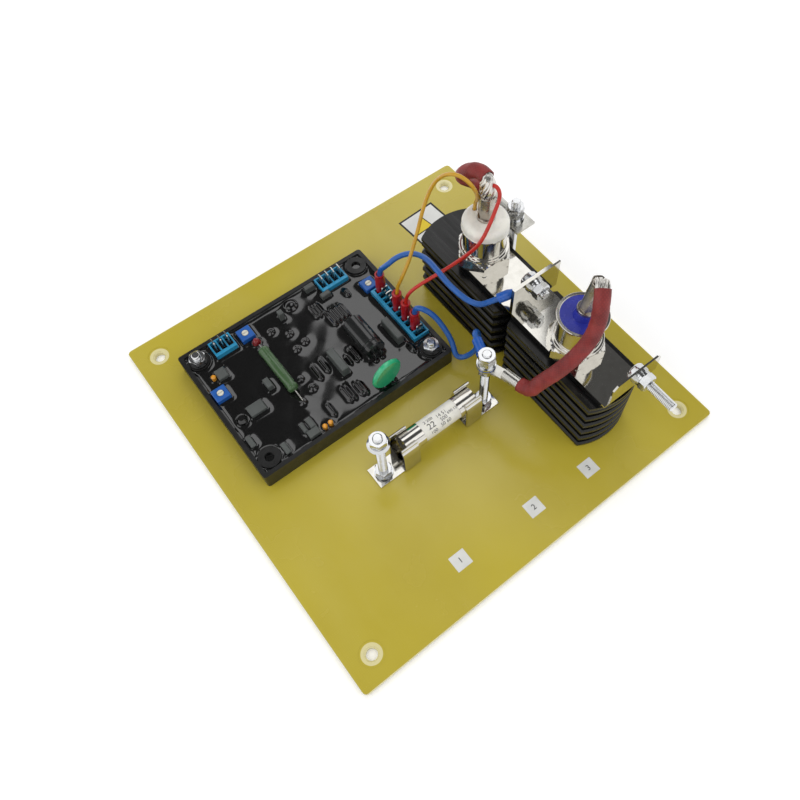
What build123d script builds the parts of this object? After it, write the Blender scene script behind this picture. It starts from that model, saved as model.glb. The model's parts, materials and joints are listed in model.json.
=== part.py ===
"""Voltage regulator on a square board: potted control module, thyristor and diode on finned
heat sinks, fuse in spring clips and the leads between them.

Millimetres. The origin is the centre of the board's underside, +Z is up, +X runs from the
control module to the heat sinks and +Y runs from the fuse side to the module side.
"""
from build123d import *
import math
import os

os.makedirs("parts", exist_ok=True)

# Board
board_side = 280.0
board_t = 4.0
board_corner_r = 3.0
fixing_pitch = 248.0
fixing_d = 7.0
fixing_rim = 1.0
spot_d = 15.5
spot_depth = 0.2

# Metric fasteners
m6_d = 6.0
m6_clear_d = 6.4
m6_af = 10.0
m6_nut_h = 5.0
m6_head_h = 4.0
m6_csk_d = 12.0
m6_washer_d = 12.0
m6_washer_t = 1.6
m6_spring_d = 10.6
m6_spring_t = 1.5
thread_gap = 0.05
engaged_d = 5.0
thread_show = 0.3
stud_end_chamfer = 0.6

# Control module tray
tray_x0 = -116.0
tray_y0 = -3.3
tray_l = 147.0
tray_w = 108.5
tray_h = 14.0
tray_wall = 3.0
tray_floor = 2.0
tray_corner_r = 2.0
post_d = 14.5
post_hole_d = 6.3
post_inset_x = 10.2
post_inset_y = 10.7
potting_below_rim = 2.0
pcb_t = 1.6
pcb_lift = 1.5
pcb_gap = 1.5
module_washer_t = 1.2
module_washer_d = 12.6
module_nut_h = 4.0
module_screw_out = 3.0

# Trimmers
trimmer_side = 9.8
trimmer_rise = 4.5
trimmer_gap = 1.8
rotor_d = 4.3
rotor_recess_d = 4.9
rotor_recess = 1.0
rotor_h = 1.2
rotor_float = 0.05
slot_w = 0.8
slot_deep = 0.6

# Plug strips
strip_rise = 4.5
strip_lift = 1.5
strip_wall_gap = 0.6
strip_post_gap = 3.5
strip_back_gap = 1.6
cell_pitch = 4.9
cell_wall = 1.0
strip_front_bar = 2.4
strip_back_bar = 1.0
blade_w = 5.0
blade_t = 0.8
blade_rise = 8.0
blade_hole_d = 1.4
blade_tip = 0.8

# Receptacles with their red sleeves
sleeve_w = 7.4
sleeve_t = 4.6
sleeve_h = 17.0
sleeve_mouth_d = 6.6
sleeve_bore_deep = 7.0
blade_gap = 0.1

# Power resistor, electrolytic, varistor, lamp
resistor_d = 6.6
resistor_l = 39.5
resistor_cap_l = 3.0
resistor_neck = 0.35
resistor_float = 0.3
lead_d = 0.9
lead_reach_front = 9.0
lead_reach_back = 4.0
lead_bend_r = 2.0
can_d = 15.0
can_l = 28.5
can_sunk = 1.2
can_groove = 0.7
can_groove_from_end = 4.5
can_lead_pitch = 5.0
varistor_d = 23.2
varistor_t = 3.6
varistor_yaw = 7.0
varistor_lift = 0.8
varistor_leg_d = 1.7
varistor_leg_pitch = 7.5
lamp_d = 5.0
lamp_rise = 4.5

# Heat sinks
sink_x = 74.5
sink_w = 42.0
sink_straight = 74.0
sink_bulge = 6.0
sink_h = 53.0
fin_pitch = 9.1
fin_tip = 4.6
fin_count = 6
first_fin_top = 3.9
fin_depth = 10.5
fin_round = 1.1
top_slab_t = 2.4
rear_sink_y = 22.0
sink_gap = 1.2
pad_w = 31.0
pad_t = 3.8
pad_margin = 3.5
sink_screw_pitch = 40.0
sink_screw_deep = 12.0

# Conductor plates
plate_t = 1.2
plate_w = 31.0
plate_bend_r = 1.5
flange_margin = 7.0
joint_flange_over = 6.0
joint_before_gap = 2.9
joint_bolt_off = 1.0
joint_bolt_up = 17.2
joint_bolt_out = 2.5
end_flange_inset = 0.5
end_flange_left = 11.5
end_flange_right = 26.5
end_flange_cut = 3.0
end_bolt_off = 10.0
end_bolt_up = 10.7
end_bolt_out = 19.0

# Thyristor and diode
cell_af = 32.0
cell_hex_h = 10.0
cell_hex_chamfer = 1.2
cell_corner_turn = 51.2
cell_stud_d = 12.0
cell_stud_l = 30.0
stud_hole_gap = 0.2
thyristor_off = -1.7
diode_off = -0.8
thyristor_shell_d = 28.0
thyristor_shell_h = 17.4
shell_rim_d = 30.0
shell_rim_h = 1.6
cap_d = 29.6
cap_h = 7.6
cap_dome = 4.5
thyristor_stem_d = 9.0
thyristor_stem_h = 19.0
collar_d = 11.5
collar_h = 2.2
gate_offset = (-1.5, 9.0)
gate_hole_deep = 4.0
diode_shell_d = 28.0
diode_shell_h = 21.4
diode_rim_d = 31.0
diode_rim_h = 1.6
seal_d = 27.0
seal_t = 2.0
seal_below_rim = 0.5
seal_rise = 5.0
seal_rise_d = 12.6
seal_neck_d = 10.4
diode_stem_d = 8.5
diode_stem_h = 31.5
diode_stem_lean = (3.0, -2.4)
braid_bulge_d = 10.4
braid_bulge_h = 13.0
diode_braid_w = 8.4
diode_braid_t = 3.6
braid_turn_r = 4.2
braid_turn = 118.0
braid_show = 1.0
lead_fit = 0.2

# Fuse, clips and studs
fuse_y = -40.0
fuse_z = 20.0
fuse_x0 = -38.0
fuse_l = 54.6
fuse_d = 14.4
ceramic_d = 13.6
fuse_cap_l = 13.8
fuse_cap_wall = 1.0
clip_t = 1.2
clip_w = 15.0
clip_base_t = 1.2
jaw_l = 12.0
jaw_wrap = 38.0
jaw_lip = 2.6
jaw_lip_turn = 85.0
left_jaw_out = 5.0
right_jaw_out = 2.0
left_stud_x = -54.0
right_stud_x = 27.0
clip_margin = 7.5
left_stud_h = 54.0
left_flange_nut_z = 45.0
flange_nut_d = 14.0
flange_nut_t = 1.6
right_stud_h = 63.0
right_seat_z = 43.0
lug_t = 1.8
ring_t = 0.8
ring_d = 12.0
thin_nut_h = 3.0

# Rear stud
rear_stud_x = 103.0
rear_stud_y = 24.0
rear_stud_h = 86.0
rear_seat_z = 63.5
rear_lug_side = 15.0
rear_lug_front = 11.0

# Crimped ends
barrel_d = 7.8
diode_barrel_l = 12.0
rear_barrel_l = 15.0
blue_barrel_d = 6.5
blue_barrel_l = 9.5
joint_barrel_l = 14.3
joint_straight_l = 7.0
joint_cone_tip_d = 2.4
neck_w = 7.0

# Wires and sleeves
blue_d = 3.7
thin_d = 2.4
sleeve_d = 9.2
wire_clear = 0.3

top = board_t
sink_l = sink_straight + 2 * sink_bulge
front_sink_y = rear_sink_y - sink_l - sink_gap
joint_y = (rear_sink_y + front_sink_y) / 2 - joint_before_gap
thyristor_y = rear_sink_y + thyristor_off
diode_y = front_sink_y + diode_off
end_flange_y = front_sink_y - sink_l / 2 + end_flange_inset
joint_flange_h = joint_bolt_up + flange_margin
end_flange_h = end_bolt_up + flange_margin
joint_bolt_x = sink_x + joint_bolt_off
end_bolt_x = sink_x + end_bolt_off
end_flange_x0 = sink_x - end_flange_left
end_flange_x1 = sink_x + end_flange_right
joint_bolt_h = sink_h + pad_t + joint_bolt_up
end_bolt_h = sink_h + pad_t + end_bolt_up
potting_z = top + tray_h - potting_below_rim
tray_x1 = tray_x0 + tray_l
tray_y1 = tray_y0 + tray_w
pcb_z = top + tray_floor + pcb_lift
pcb_top = pcb_z + pcb_t
strip_top = potting_z + strip_rise
bottom = (Align.CENTER, Align.CENTER, Align.MIN)
to_y = Rot(-90, 0, 0)
to_minus_y = Rot(90, 0, 0)
to_x = Rot(0, 90, 0)


def at(x, y, z=0.0):
    return Pos(x, y, z)


def rod(diameter, height):
    return Cylinder(diameter / 2, height, align=bottom)


def block(x0, x1, y0, y1, z0, z1):
    size = (x1 - x0, y1 - y0, z1 - z0)
    return Pos((x0 + x1) / 2, (y0 + y1) / 2, z0) * Box(*size, align=bottom)


def hexagon(across_flats, height):
    return extrude(RegularPolygon(across_flats / 2, 6, major_radius=False), height)


def hex_nut(across_flats, height, bore_d):
    cone = Cone(across_flats * 0.5 + height, across_flats * 0.5, height, align=bottom)
    under = Pos(0, 0, height) * Rot(180, 0, 0) * cone
    return (hexagon(across_flats, height) & cone & under) - rod(bore_d, height)


def washer(outer_d, inner_d, thickness):
    return rod(outer_d, thickness) - rod(inner_d, thickness)


def countersink(shank_d):
    depth = (m6_csk_d - shank_d) / 2
    return Cone(m6_csk_d / 2, shank_d / 2, depth, align=bottom)


def countersunk_rod(end_z):
    """M6 rod that starts flush with the board's underside and ends at the given height."""
    shank = rod(m6_d, end_z)
    shank = chamfer(shank.edges().group_by(Axis.Z)[-1], stud_end_chamfer)
    return shank + countersink(m6_d)


def board_hole():
    return rod(m6_clear_d, board_t) + countersink(m6_d)


def save(shape, node):
    shape.label = node
    export_step(shape, f"parts/{node}.step")


def group(shapes, node):
    """Several separate solids that share one node."""
    save(Compound(children=list(shapes)), node)


def edge_rounded(solid, size):
    """Breaks the upper edges of a small moulded body."""
    return chamfer(solid.edges().group_by(Axis.Z)[-1], size)


# Base board

fixing_points = [(sx * fixing_pitch / 2, sy * fixing_pitch / 2) for sx in (-1, 1) for sy in (-1, 1)]
post_left_back = (tray_x0 + post_inset_x, tray_y1 - post_inset_y)
post_right_back = (tray_x1 - post_inset_x, tray_y1 - post_inset_y)
post_left_front = (tray_x0 + post_inset_x, tray_y0 + post_inset_y)
post_right_front = (tray_x1 - post_inset_x, tray_y0 + post_inset_y)
posts = (post_left_back, post_right_back, post_left_front, post_right_front)
screwed_posts = (post_left_back, post_right_front)
sink_screws = [(sink_x, y + s * sink_screw_pitch / 2) for y in (rear_sink_y, front_sink_y) for s in (-1, 1)]
stud_points = [(left_stud_x, fuse_y), (right_stud_x, fuse_y), (rear_stud_x, rear_stud_y)]


def base_board():
    outline = RectangleRounded(board_side, board_side, board_corner_r)
    board = extrude(outline, board_t)
    for x, y in fixing_points:
        board -= at(x, y) * rod(fixing_d, board_t)
        rim_cone = Cone(fixing_d / 2, fixing_d / 2 + fixing_rim, fixing_rim, align=bottom)
        board -= at(x, y, board_t - spot_depth - fixing_rim) * rim_cone
        board -= at(x, y, board_t - spot_depth) * rod(spot_d, spot_depth)
    for x, y in list(screwed_posts) + sink_screws + stud_points:
        board -= at(x, y) * board_hole()
    return board


# Control module

def tray():
    centre = at((tray_x0 + tray_x1) / 2, (tray_y0 + tray_y1) / 2, top)
    shell = centre * extrude(RectangleRounded(tray_l, tray_w, tray_corner_r), tray_h)
    inner = RectangleRounded(tray_l - 2 * tray_wall, tray_w - 2 * tray_wall, tray_corner_r / 2)
    shell -= centre * Pos(0, 0, tray_floor) * extrude(inner, tray_h)
    for x, y in posts:
        shell += at(x, y, top) * rod(post_d, tray_h)
    for x, y in posts:
        shell -= at(x, y, top) * rod(post_hole_d, tray_h)
    return shell


def control_board():
    gap = tray_wall + pcb_gap
    board = block(tray_x0 + gap, tray_x1 - gap, tray_y0 + gap, tray_y1 - gap, pcb_z, pcb_top)
    for x, y in posts:
        board -= at(x, y, pcb_z) * rod(post_d + 2 * pcb_gap, pcb_t)
    return board


layout_columns = 147.0
layout_rows = 108.5
column = tray_l / layout_columns
row = tray_w / layout_rows


def left(u):
    return tray_x0 + u * column


def right(u):
    return tray_x1 - u * column


def front(v):
    return tray_y0 + v * row


def back(v):
    return tray_y1 - v * row


# Plug strips: low corner, ways along X or along Y, and depth across the ways
strip_depth = 12.4
long_way_count = 10
back_way_count = 4
left_way_count = 3


def strip_length(ways):
    return ways * cell_pitch + cell_wall


long_x0 = tray_x1 - tray_wall - strip_wall_gap - strip_depth
long_y0 = post_right_front[1] + post_d / 2 + strip_post_gap
long_y1 = long_y0 + strip_length(long_way_count)
back_x0 = post_right_back[0] - post_d / 2 - strip_post_gap - strip_length(back_way_count)
left_x0 = post_left_back[0] + post_d / 2 + strip_post_gap
long_strip = (long_x0, long_y0, long_way_count, "y", strip_depth)
back_strip = (back_x0, tray_y1 - tray_wall - strip_back_gap - strip_depth, back_way_count, "x", strip_depth)
left_strip = (left_x0, tray_y1 - tray_wall - strip_back_gap - strip_depth, left_way_count, "x", strip_depth)


# Film capacitors and small moulded parts: centre, footprint and rise above the potting
film_places = [
    (left(21.7), front(44.3), 11.3, 8.0, 3.6),
    (left(6.5), front(26.7), 3.6, 8.2, 2.5),
    (left(21.3), front(9.3), 3.5, 8.0, 3.0),
    (left(37.6), front(14.0), 2.8, 7.5, 3.0),
    (left(42.9), front(14.3), 3.8, 8.0, 3.0),
    (left(40.9), front(7.0), 7.8, 5.0, 4.5),
    (left(36.8), front(54.0), 3.9, 7.5, 6.0),
    (left(17.0), back(28.7), 7.0, 8.0, 4.0),
    (right(65.7), front(38.7), 5.1, 18.9, 9.0),
    (right(23.2), front(36.2), 4.8, 19.0, 9.0),
    (back_x0 - 5.7, back(7.5), 7.0, 3.5, 6.0),
    (right(41.5), back(19.0), 7.0, 3.5, 5.0),
    (right(75.2), back(15.2), 3.5, 4.0, 8.5),
]
potted_places = [
    (left(59.0), front(14.8), 3.6, 11.0, 1.6),
    (left(74.5), front(17.3), 6.4, 13.0, 1.8),
    (left(83.0), front(15.8), 5.4, 11.0, 1.8),
    (left(67.0), front(43.3), 3.8, 13.5, 1.8),
    (left(74.0), front(44.8), 3.8, 12.5, 1.8),
    (left(88.5), front(37.3), 2.8, 8.0, 1.8),
    (left(94.5), front(39.8), 4.6, 12.5, 1.8),
    (right(43.5), back(35.7), 13.5, 13.5, 2.2),
    (right(53.0), back(25.2), 7.5, 11.0, 1.4),
    (right(19.6), front(19.6), 3.4, 8.4, 1.8),
    (right(28.5), back(25.2), 4.4, 7.5, 1.6),
]
potted_round = [
    (right(65.0), back(10.2), 8.6, 2.2),
    (left(56.0), front(45.8), 3.4, 1.2),
    (left(58.5), front(35.3), 5.2, 1.6),
    (left(60.0), back(20.2), 4.4, 1.4),
    (left(69.0), back(29.2), 4.4, 1.4),
    (left(66.5), back(42.2), 4.4, 1.4),
    (left(74.0), back(40.7), 4.4, 1.4),
]
bead_places = [(left(48.7), front(6.3)), (left(53.0), front(6.3)), (left(11.5), back(28.2))]
bead_d = 3.2
bead_rise = 4.6
transistor_place = (left(10.3), front(43.3))
transistor_d = 6.8
transistor_rise = 4.0


def moulded(place):
    x, y, width, depth, rise = place
    body = at(x, y, pcb_top) * Box(width * column, depth * row, potting_z + rise - pcb_top, align=bottom)
    return edge_rounded(body, 0.6)


def domed(x, y, diameter, rise):
    """Round body that stands on the control board and ends in a low dome."""
    body = at(x, y, pcb_top) * rod(diameter, potting_z + rise - pcb_top)
    return chamfer(body.edges().group_by(Axis.Z)[-1], diameter * 0.28, diameter * 0.2)


def trimmer_places():
    beside_strip = long_y1 + trimmer_gap + trimmer_side / 2
    return [(left(45.3), back(12.4)), (left(9.1), back(41.7)), (right(13.1), beside_strip)]


def trimmer_body(x, y):
    height = potting_z + trimmer_rise - pcb_top
    body = at(x, y, pcb_top) * Box(trimmer_side, trimmer_side, height, align=bottom)
    body = edge_rounded(body, 0.5)
    return body - at(x, y, potting_z + trimmer_rise - rotor_recess) * rod(rotor_recess_d, rotor_recess)


def trimmer_rotor(x, y):
    seat = potting_z + trimmer_rise - rotor_recess + rotor_float
    rotor = at(x, y, seat) * rod(rotor_d, rotor_h)
    slot = Pos(0, 0, rotor_h - slot_deep) * Box(rotor_d, slot_w, slot_deep, align=bottom)
    return rotor - at(x, y, seat) * slot


def strip_frame(place):
    x0, y0, ways, run, depth = place
    length = strip_length(ways)
    z0 = pcb_top + strip_lift
    if run == "x":
        frame = block(x0, x0 + length, y0, y0 + depth, z0, strip_top)
    else:
        frame = block(x0, x0 + depth, y0, y0 + length, z0, strip_top)
    for way in range(ways):
        a = cell_wall + way * cell_pitch
        b = a + cell_pitch - cell_wall
        if run == "x":
            frame -= block(x0 + a, x0 + b, y0 + strip_front_bar, y0 + depth - strip_back_bar, z0, strip_top)
        else:
            frame -= block(x0 + strip_front_bar, x0 + depth - strip_back_bar, y0 + a, y0 + b, z0, strip_top)
    return frame


def cell_centre(place, way):
    x0, y0, ways, run, depth = place
    along = (cell_wall + cell_pitch) / 2 + way * cell_pitch
    across = (strip_front_bar + depth - strip_back_bar) / 2
    if run == "x":
        return (x0 + along, y0 + across)
    return (x0 + across, y0 + along)


def blade(x, y, run):
    height = strip_top + blade_rise - pcb_top
    tab = Box(blade_w, blade_t, height, align=bottom)
    tab = chamfer(tab.edges().filter_by(Axis.Y).group_by(Axis.Z)[-1], blade_tip)
    tab -= Pos(0, 0, height - blade_rise / 2) * Rot(90, 0, 0) * Cylinder(blade_hole_d / 2, blade_t)
    turn = 90 if run == "x" else 0
    return at(x, y, pcb_top) * Rot(0, 0, turn) * tab


plug_ways = {"blue_2": 1, "red": 3, "yellow": 5, "blue_1": 9}


def receptacle_place(wire):
    return cell_centre(long_strip, plug_ways[wire])


def receptacle(wire, wire_d):
    """Insulated push-on receptacle: oval over the blade, round where the wire goes in."""
    x, y = receptacle_place(wire)
    oval = Plane.XY * SlotOverall(sleeve_w, sleeve_t)
    mouth = Plane.XY.offset(sleeve_h) * Circle(sleeve_mouth_d / 2)
    upper = Plane.XY.offset(sleeve_h / 2) * SlotOverall(sleeve_w, sleeve_t)
    body = extrude(oval, sleeve_h / 2) + loft([upper, mouth])
    body -= Box(blade_w + 2 * blade_gap, blade_t + 2 * blade_gap, blade_rise + blade_gap, align=bottom)
    body -= Pos(0, 0, sleeve_h - sleeve_bore_deep) * rod(wire_d + 2 * wire_clear, sleeve_bore_deep)
    return at(x, y, strip_top) * body


def power_resistor():
    """Axial body along Y whose leads bend down to the control board."""
    radius = resistor_d / 2
    z = potting_z + resistor_float + radius
    x = left(47.8)
    y0 = front(39.3)
    body = at(x, y0, z) * to_y * rod(resistor_d, resistor_l)
    for end in (0, resistor_l - resistor_cap_l):
        ring = rod(resistor_d + 1, resistor_cap_l) - rod(resistor_d - 2 * resistor_neck, resistor_cap_l)
        body -= at(x, y0 + end, z) * to_y * ring
    for start, sign, reach in ((y0, -1, lead_reach_front), (y0 + resistor_l, 1, lead_reach_back)):
        path = FilletPolyline((x, start - sign, z), (x, start + sign * reach, z),
                              (x, start + sign * reach, pcb_top), radius=lead_bend_r)
        section = Plane(origin=(x, start - sign, z), z_dir=(0, sign, 0)) * Circle(lead_d / 2)
        body += sweep(section, path=path)
    return body


def electrolytic():
    """Can lying along Y with a rolled groove near its bung, and two leads from the bung."""
    radius = can_d / 2
    x = right(41.5)
    y0 = front(29.3)
    z = potting_z - can_sunk + radius
    can = rod(can_d, can_l)
    can = chamfer(can.edges().filter_by(GeomType.CIRCLE), 0.8)
    groove = Pos(0, 0, can_groove_from_end) * Torus(radius + 0.3, 0.3 + can_groove)
    can -= groove
    body = at(x, y0, z) * to_y * can
    for side in (-1, 1):
        lx = x + side * can_lead_pitch / 2
        path = FilletPolyline((lx, y0 + 1, z), (lx, y0 - 3.0, z), (lx, y0 - 3.0, pcb_top), radius=lead_bend_r)
        section = Plane(origin=(lx, y0 + 1, z), z_dir=(0, -1, 0)) * Circle(lead_d / 2)
        body += sweep(section, path=path)
    return body


def varistor():
    """Coated disc standing on two coated legs."""
    centre_z = potting_z + varistor_lift + varistor_d / 2
    disc = to_y * Cylinder(varistor_d / 2, varistor_t)
    disc = chamfer(disc.edges().filter_by(GeomType.CIRCLE), 1.1)
    leg_h = centre_z - pcb_top
    for side in (-1, 1):
        leg = Pos(side * varistor_leg_pitch / 2, -side * 0.9, -leg_h) * rod(varistor_leg_d, leg_h)
        disc += leg
    return at(right(48.0), front(8.2), centre_z) * Rot(0, 0, varistor_yaw) * disc


def lamp():
    x, y = left(48.0), back(21.2)
    body = at(x, y, pcb_top) * rod(lamp_d, potting_z + lamp_rise - lamp_d / 2 - pcb_top)
    dome = at(x, y, potting_z + lamp_rise - lamp_d / 2) * Sphere(lamp_d / 2)
    flange = at(x, y, pcb_top) * rod(lamp_d + 0.9, potting_z + 0.8 - pcb_top)
    return body + dome + flange


def potting(inserts):
    fill = at((tray_x0 + tray_x1) / 2, (tray_y0 + tray_y1) / 2, top + tray_floor)
    inner = RectangleRounded(tray_l - 2 * tray_wall, tray_w - 2 * tray_wall, tray_corner_r / 2)
    solid = fill * extrude(inner, potting_z - top - tray_floor)
    for x, y in posts:
        solid -= at(x, y, top) * rod(post_d, tray_h)
    for insert in inserts:
        solid -= insert
    return solid


# Heat sinks

def sink_outline(inset=0.0):
    """Straight long sides and arched ends."""
    half_w = sink_w / 2 - inset
    half_l = sink_straight / 2 - inset
    crown = half_l + sink_bulge
    lines = Line((-half_w, half_l), (-half_w, -half_l))
    lines += ThreePointArc((-half_w, -half_l), (0, -crown), (half_w, -half_l))
    lines += Line((half_w, -half_l), (half_w, half_l))
    lines += ThreePointArc((half_w, half_l), (0, crown), (-half_w, half_l))
    return make_face(lines)


def heat_sink(y, device_y):
    sink = extrude(sink_outline(fin_depth), sink_h)
    for k in range(fin_count):
        upper = first_fin_top + k * fin_pitch
        lower = max(0.0, upper - fin_tip)
        fin = extrude(sink_outline(), upper - lower)
        ends = fin.edges().group_by(Axis.Z)
        fin = chamfer(ends[0] + ends[-1], fin_round)
        sink += Pos(0, 0, lower) * fin
    slab = extrude(sink_outline(), top_slab_t)
    sink += Pos(0, 0, sink_h - top_slab_t) * slab
    low = pad_margin - sink_l / 2
    high = device_y - y if y > joint_y else -low
    sink += block(-pad_w / 2, pad_w / 2, low, high, sink_h, sink_h + pad_t)
    sink += Pos(0, device_y - y, sink_h) * rod(pad_w, pad_t)
    sink = at(sink_x, y, top) * sink
    bore = rod(cell_stud_d + 2 * stud_hole_gap, cell_stud_l + 1.0)
    sink -= at(sink_x, device_y, top + sink_h + pad_t - cell_stud_l - 1.0) * bore
    for x, sy in sink_screws:
        if abs(sy - y) < sink_straight / 2:
            sink -= at(x, sy, top) * rod(m6_d + 2 * thread_gap, sink_screw_deep + 1.0)
    return sink


pad_z = top + sink_h + pad_t
plate_z = pad_z + plate_t
plate_x0 = sink_x - plate_w / 2
plate_x1 = sink_x + plate_w / 2
joint_flange_x1 = plate_x1 + joint_flange_over
end_flange_top = pad_z + end_flange_h


def folded_plate(y_low, y_high, flange_at_high, flange_x0, flange_x1, flange_h):
    """Flat plate with one end folded straight up."""
    flat = block(plate_x0, plate_x1, y_low, y_high, pad_z, plate_z)
    if flange_at_high:
        wall = block(flange_x0, flange_x1, y_high - plate_t, y_high, pad_z, pad_z + flange_h)
    else:
        wall = block(flange_x0, flange_x1, y_low, y_low + plate_t, pad_z, pad_z + flange_h)
    return flat, wall


def rear_plate():
    flat, wall = folded_plate(joint_y, thyristor_y, False, plate_x0, plate_x1, joint_flange_h)
    plate = flat + wall + at(sink_x, thyristor_y, pad_z) * rod(plate_w, plate_t)
    plate -= at(sink_x, thyristor_y, pad_z) * rod(cell_stud_d + 2 * stud_hole_gap, plate_t)
    plate -= at(joint_bolt_x, joint_y, top + joint_bolt_h) * to_y * rod(m6_clear_d, plate_t)
    return plate


def front_plate():
    flat, wall = folded_plate(end_flange_y, joint_y, True, plate_x0, joint_flange_x1, joint_flange_h)
    end = block(end_flange_x0, end_flange_x1, end_flange_y, end_flange_y + plate_t, pad_z, end_flange_top)
    corner = end.edges().filter_by(Axis.Y).group_by(Axis.Z)[-1]
    end = chamfer(corner, end_flange_cut)
    plate = flat + wall + end
    plate -= at(sink_x, diode_y, pad_z) * rod(cell_stud_d + 2 * stud_hole_gap, plate_t)
    hole = to_minus_y * rod(m6_clear_d, plate_t)
    plate -= at(joint_bolt_x, joint_y, top + joint_bolt_h) * hole
    plate -= at(end_bolt_x, end_flange_y + plate_t, top + end_bolt_h) * hole
    return plate


def cell_base(y, shell_d, shell_h, rim_d, rim_h):
    """Stud, hexagon and shell of a stud-mounted cell, turned from one piece."""
    hex_body = Rot(0, 0, cell_corner_turn) * hexagon(cell_af, cell_hex_h)
    bevel = Cone(cell_af / 2 + cell_hex_h + 1.6, cell_af / 2 + 1.6, cell_hex_h, align=bottom)
    base = hex_body & bevel
    base += Pos(0, 0, -cell_stud_l) * rod(cell_stud_d, cell_stud_l)
    base += Pos(0, 0, cell_hex_h) * rod(shell_d, shell_h)
    base += Pos(0, 0, cell_hex_h + shell_h) * rod(rim_d, rim_h)
    return at(sink_x, y, plate_z) * base


thyristor_cap_z = plate_z + cell_hex_h + thyristor_shell_h + shell_rim_h
thyristor_cap_top = thyristor_cap_z + cap_h
thyristor_stem_top = thyristor_cap_top + thyristor_stem_h
diode_rim_top = plate_z + cell_hex_h + diode_shell_h + diode_rim_h
diode_seal_z = diode_rim_top - seal_below_rim - seal_t
diode_stem_top = diode_rim_top - seal_below_rim + diode_stem_h
gate_x = sink_x + gate_offset[0]
gate_y = thyristor_y + gate_offset[1]


def thyristor_cap():
    cap = rod(cap_d, cap_h)
    cap = fillet(cap.edges().group_by(Axis.Z)[-1], cap_dome)
    cap = at(sink_x, thyristor_y, thyristor_cap_z) * cap
    cap -= at(sink_x, thyristor_y, thyristor_cap_z) * rod(thyristor_stem_d + 2 * lead_fit, cap_h)
    gate_hole = rod(thin_d + 2 * wire_clear, gate_hole_deep)
    return cap - at(gate_x, gate_y, thyristor_cap_top - gate_hole_deep) * gate_hole


def stem(stem_d, z0, z1, collar_z, y):
    tube_body = at(sink_x, y, z0) * rod(stem_d, z1 - z0)
    return tube_body + at(sink_x, y, collar_z) * rod(collar_d, collar_h)


def thyristor_braid():
    """Swollen braid where it leaves the stem, turned about the stem's axis."""
    neck = thyristor_stem_d / 2 - 0.3
    belly = braid_bulge_d / 2
    h = braid_bulge_h
    profile = Polyline((0, 0), (neck, 0)) + ThreePointArc((neck, 0), (belly, h * 0.5), (neck * 0.8, h))
    profile += Polyline((neck * 0.8, h), (0, h), (0, 0))
    half = Plane.XZ * make_face(profile)
    return at(sink_x, thyristor_y, thyristor_stem_top) * revolve(half, Axis.Z)


# The diode's stem leans: everything on it is built about its own axis
lean_foot = Vector(sink_x, diode_y, diode_seal_z + seal_t / 2)
lean_top = Vector(sink_x + diode_stem_lean[0], diode_y + diode_stem_lean[1], diode_stem_top)
lean_axis = (lean_top - lean_foot).normalized()
turn_way = lean_axis.cross(Vector(*diode_stem_lean, 0)).normalized() * -1
about_lean = Plane(origin=lean_foot, x_dir=turn_way, z_dir=lean_axis)
stem_foot = 0.45
ferrule_at = seal_t / 2 + seal_rise


def diode_seal():
    """Potting of the diode, drawn up round the stem to its ferrule."""
    seal = at(sink_x, diode_y, diode_seal_z) * rod(seal_d, seal_t)
    drawn_up = Cone(seal_rise_d / 2, seal_neck_d / 2, ferrule_at, align=bottom)
    through = Pos(0, 0, -seal_t) * rod(diode_stem_d + 2 * lead_fit, ferrule_at + seal_t)
    return seal + about_lean * drawn_up - about_lean * through


def diode_stem():
    full = (lean_top - lean_foot).length
    tube_body = Pos(0, 0, -stem_foot) * rod(diode_stem_d, full + stem_foot)
    return about_lean * (tube_body + Pos(0, 0, ferrule_at) * rod(collar_d, collar_h))


def on_turn(degrees):
    """Point of the braid's turn, measured from the end of the stem."""
    angle = math.radians(degrees)
    over = turn_way * ((1 - math.cos(angle)) * braid_turn_r)
    return lean_top + over + lean_axis * (math.sin(angle) * braid_turn_r)


turned = math.radians(braid_turn)
diode_sleeve_dir = turn_way * math.sin(turned) + lean_axis * math.cos(turned)
braid_turn_end = on_turn(braid_turn)
diode_sleeve_start = tuple(braid_turn_end + diode_sleeve_dir * braid_show)


def diode_braid():
    """Flat braid that leaves the stem and turns over into its sleeve."""
    turn = ThreePointArc(tuple(lean_top), tuple(on_turn(braid_turn / 2)), tuple(braid_turn_end))
    run = Line(tuple(braid_turn_end), diode_sleeve_start)
    section = Plane(origin=lean_top, x_dir=turn_way, z_dir=lean_axis)
    section *= Ellipse(diode_braid_t / 2, diode_braid_w / 2)
    return sweep(section, path=Wire([turn.edge(), run.edge()]))


# Leads: straight runs joined by tangent arcs as large as the two runs allow

def lead(points, diameter, name):
    stops = [Vector(*p) for p in points]
    radii = []
    for a, b, c in zip(stops, stops[1:], stops[2:]):
        turn = math.radians((b - a).get_angle(c - b))
        shorter = min((b - a).length, (c - b).length)
        radii.append(0.45 * shorter / math.tan(turn / 2))
    path = FilletPolyline(*stops, radius=radii)
    section = Plane(origin=stops[0], z_dir=stops[1] - stops[0]) * Circle(diameter / 2)
    solid = sweep(section, path=path)
    ratio = solid.volume / (math.pi * diameter ** 2 / 4 * path.length)
    bends = [round(r, 1) for r in radii]
    print(name, "length", round(path.length, 1), "radii", bends, "fill", round(ratio, 4))
    return solid


def bore_floor(wire):
    x, y = receptacle_place(wire)
    return (x, y, strip_top + sleeve_h - sleeve_bore_deep)


def above_mouth(wire, rise):
    x, y = receptacle_place(wire)
    return (x, y, strip_top + sleeve_h + rise)


def unit(v):
    return Vector(*v).normalized()


def before(end, direction, distance):
    """Point on the straight stretch that leads into a crimped end."""
    return tuple(Vector(*end) - unit(direction) * distance)


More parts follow.
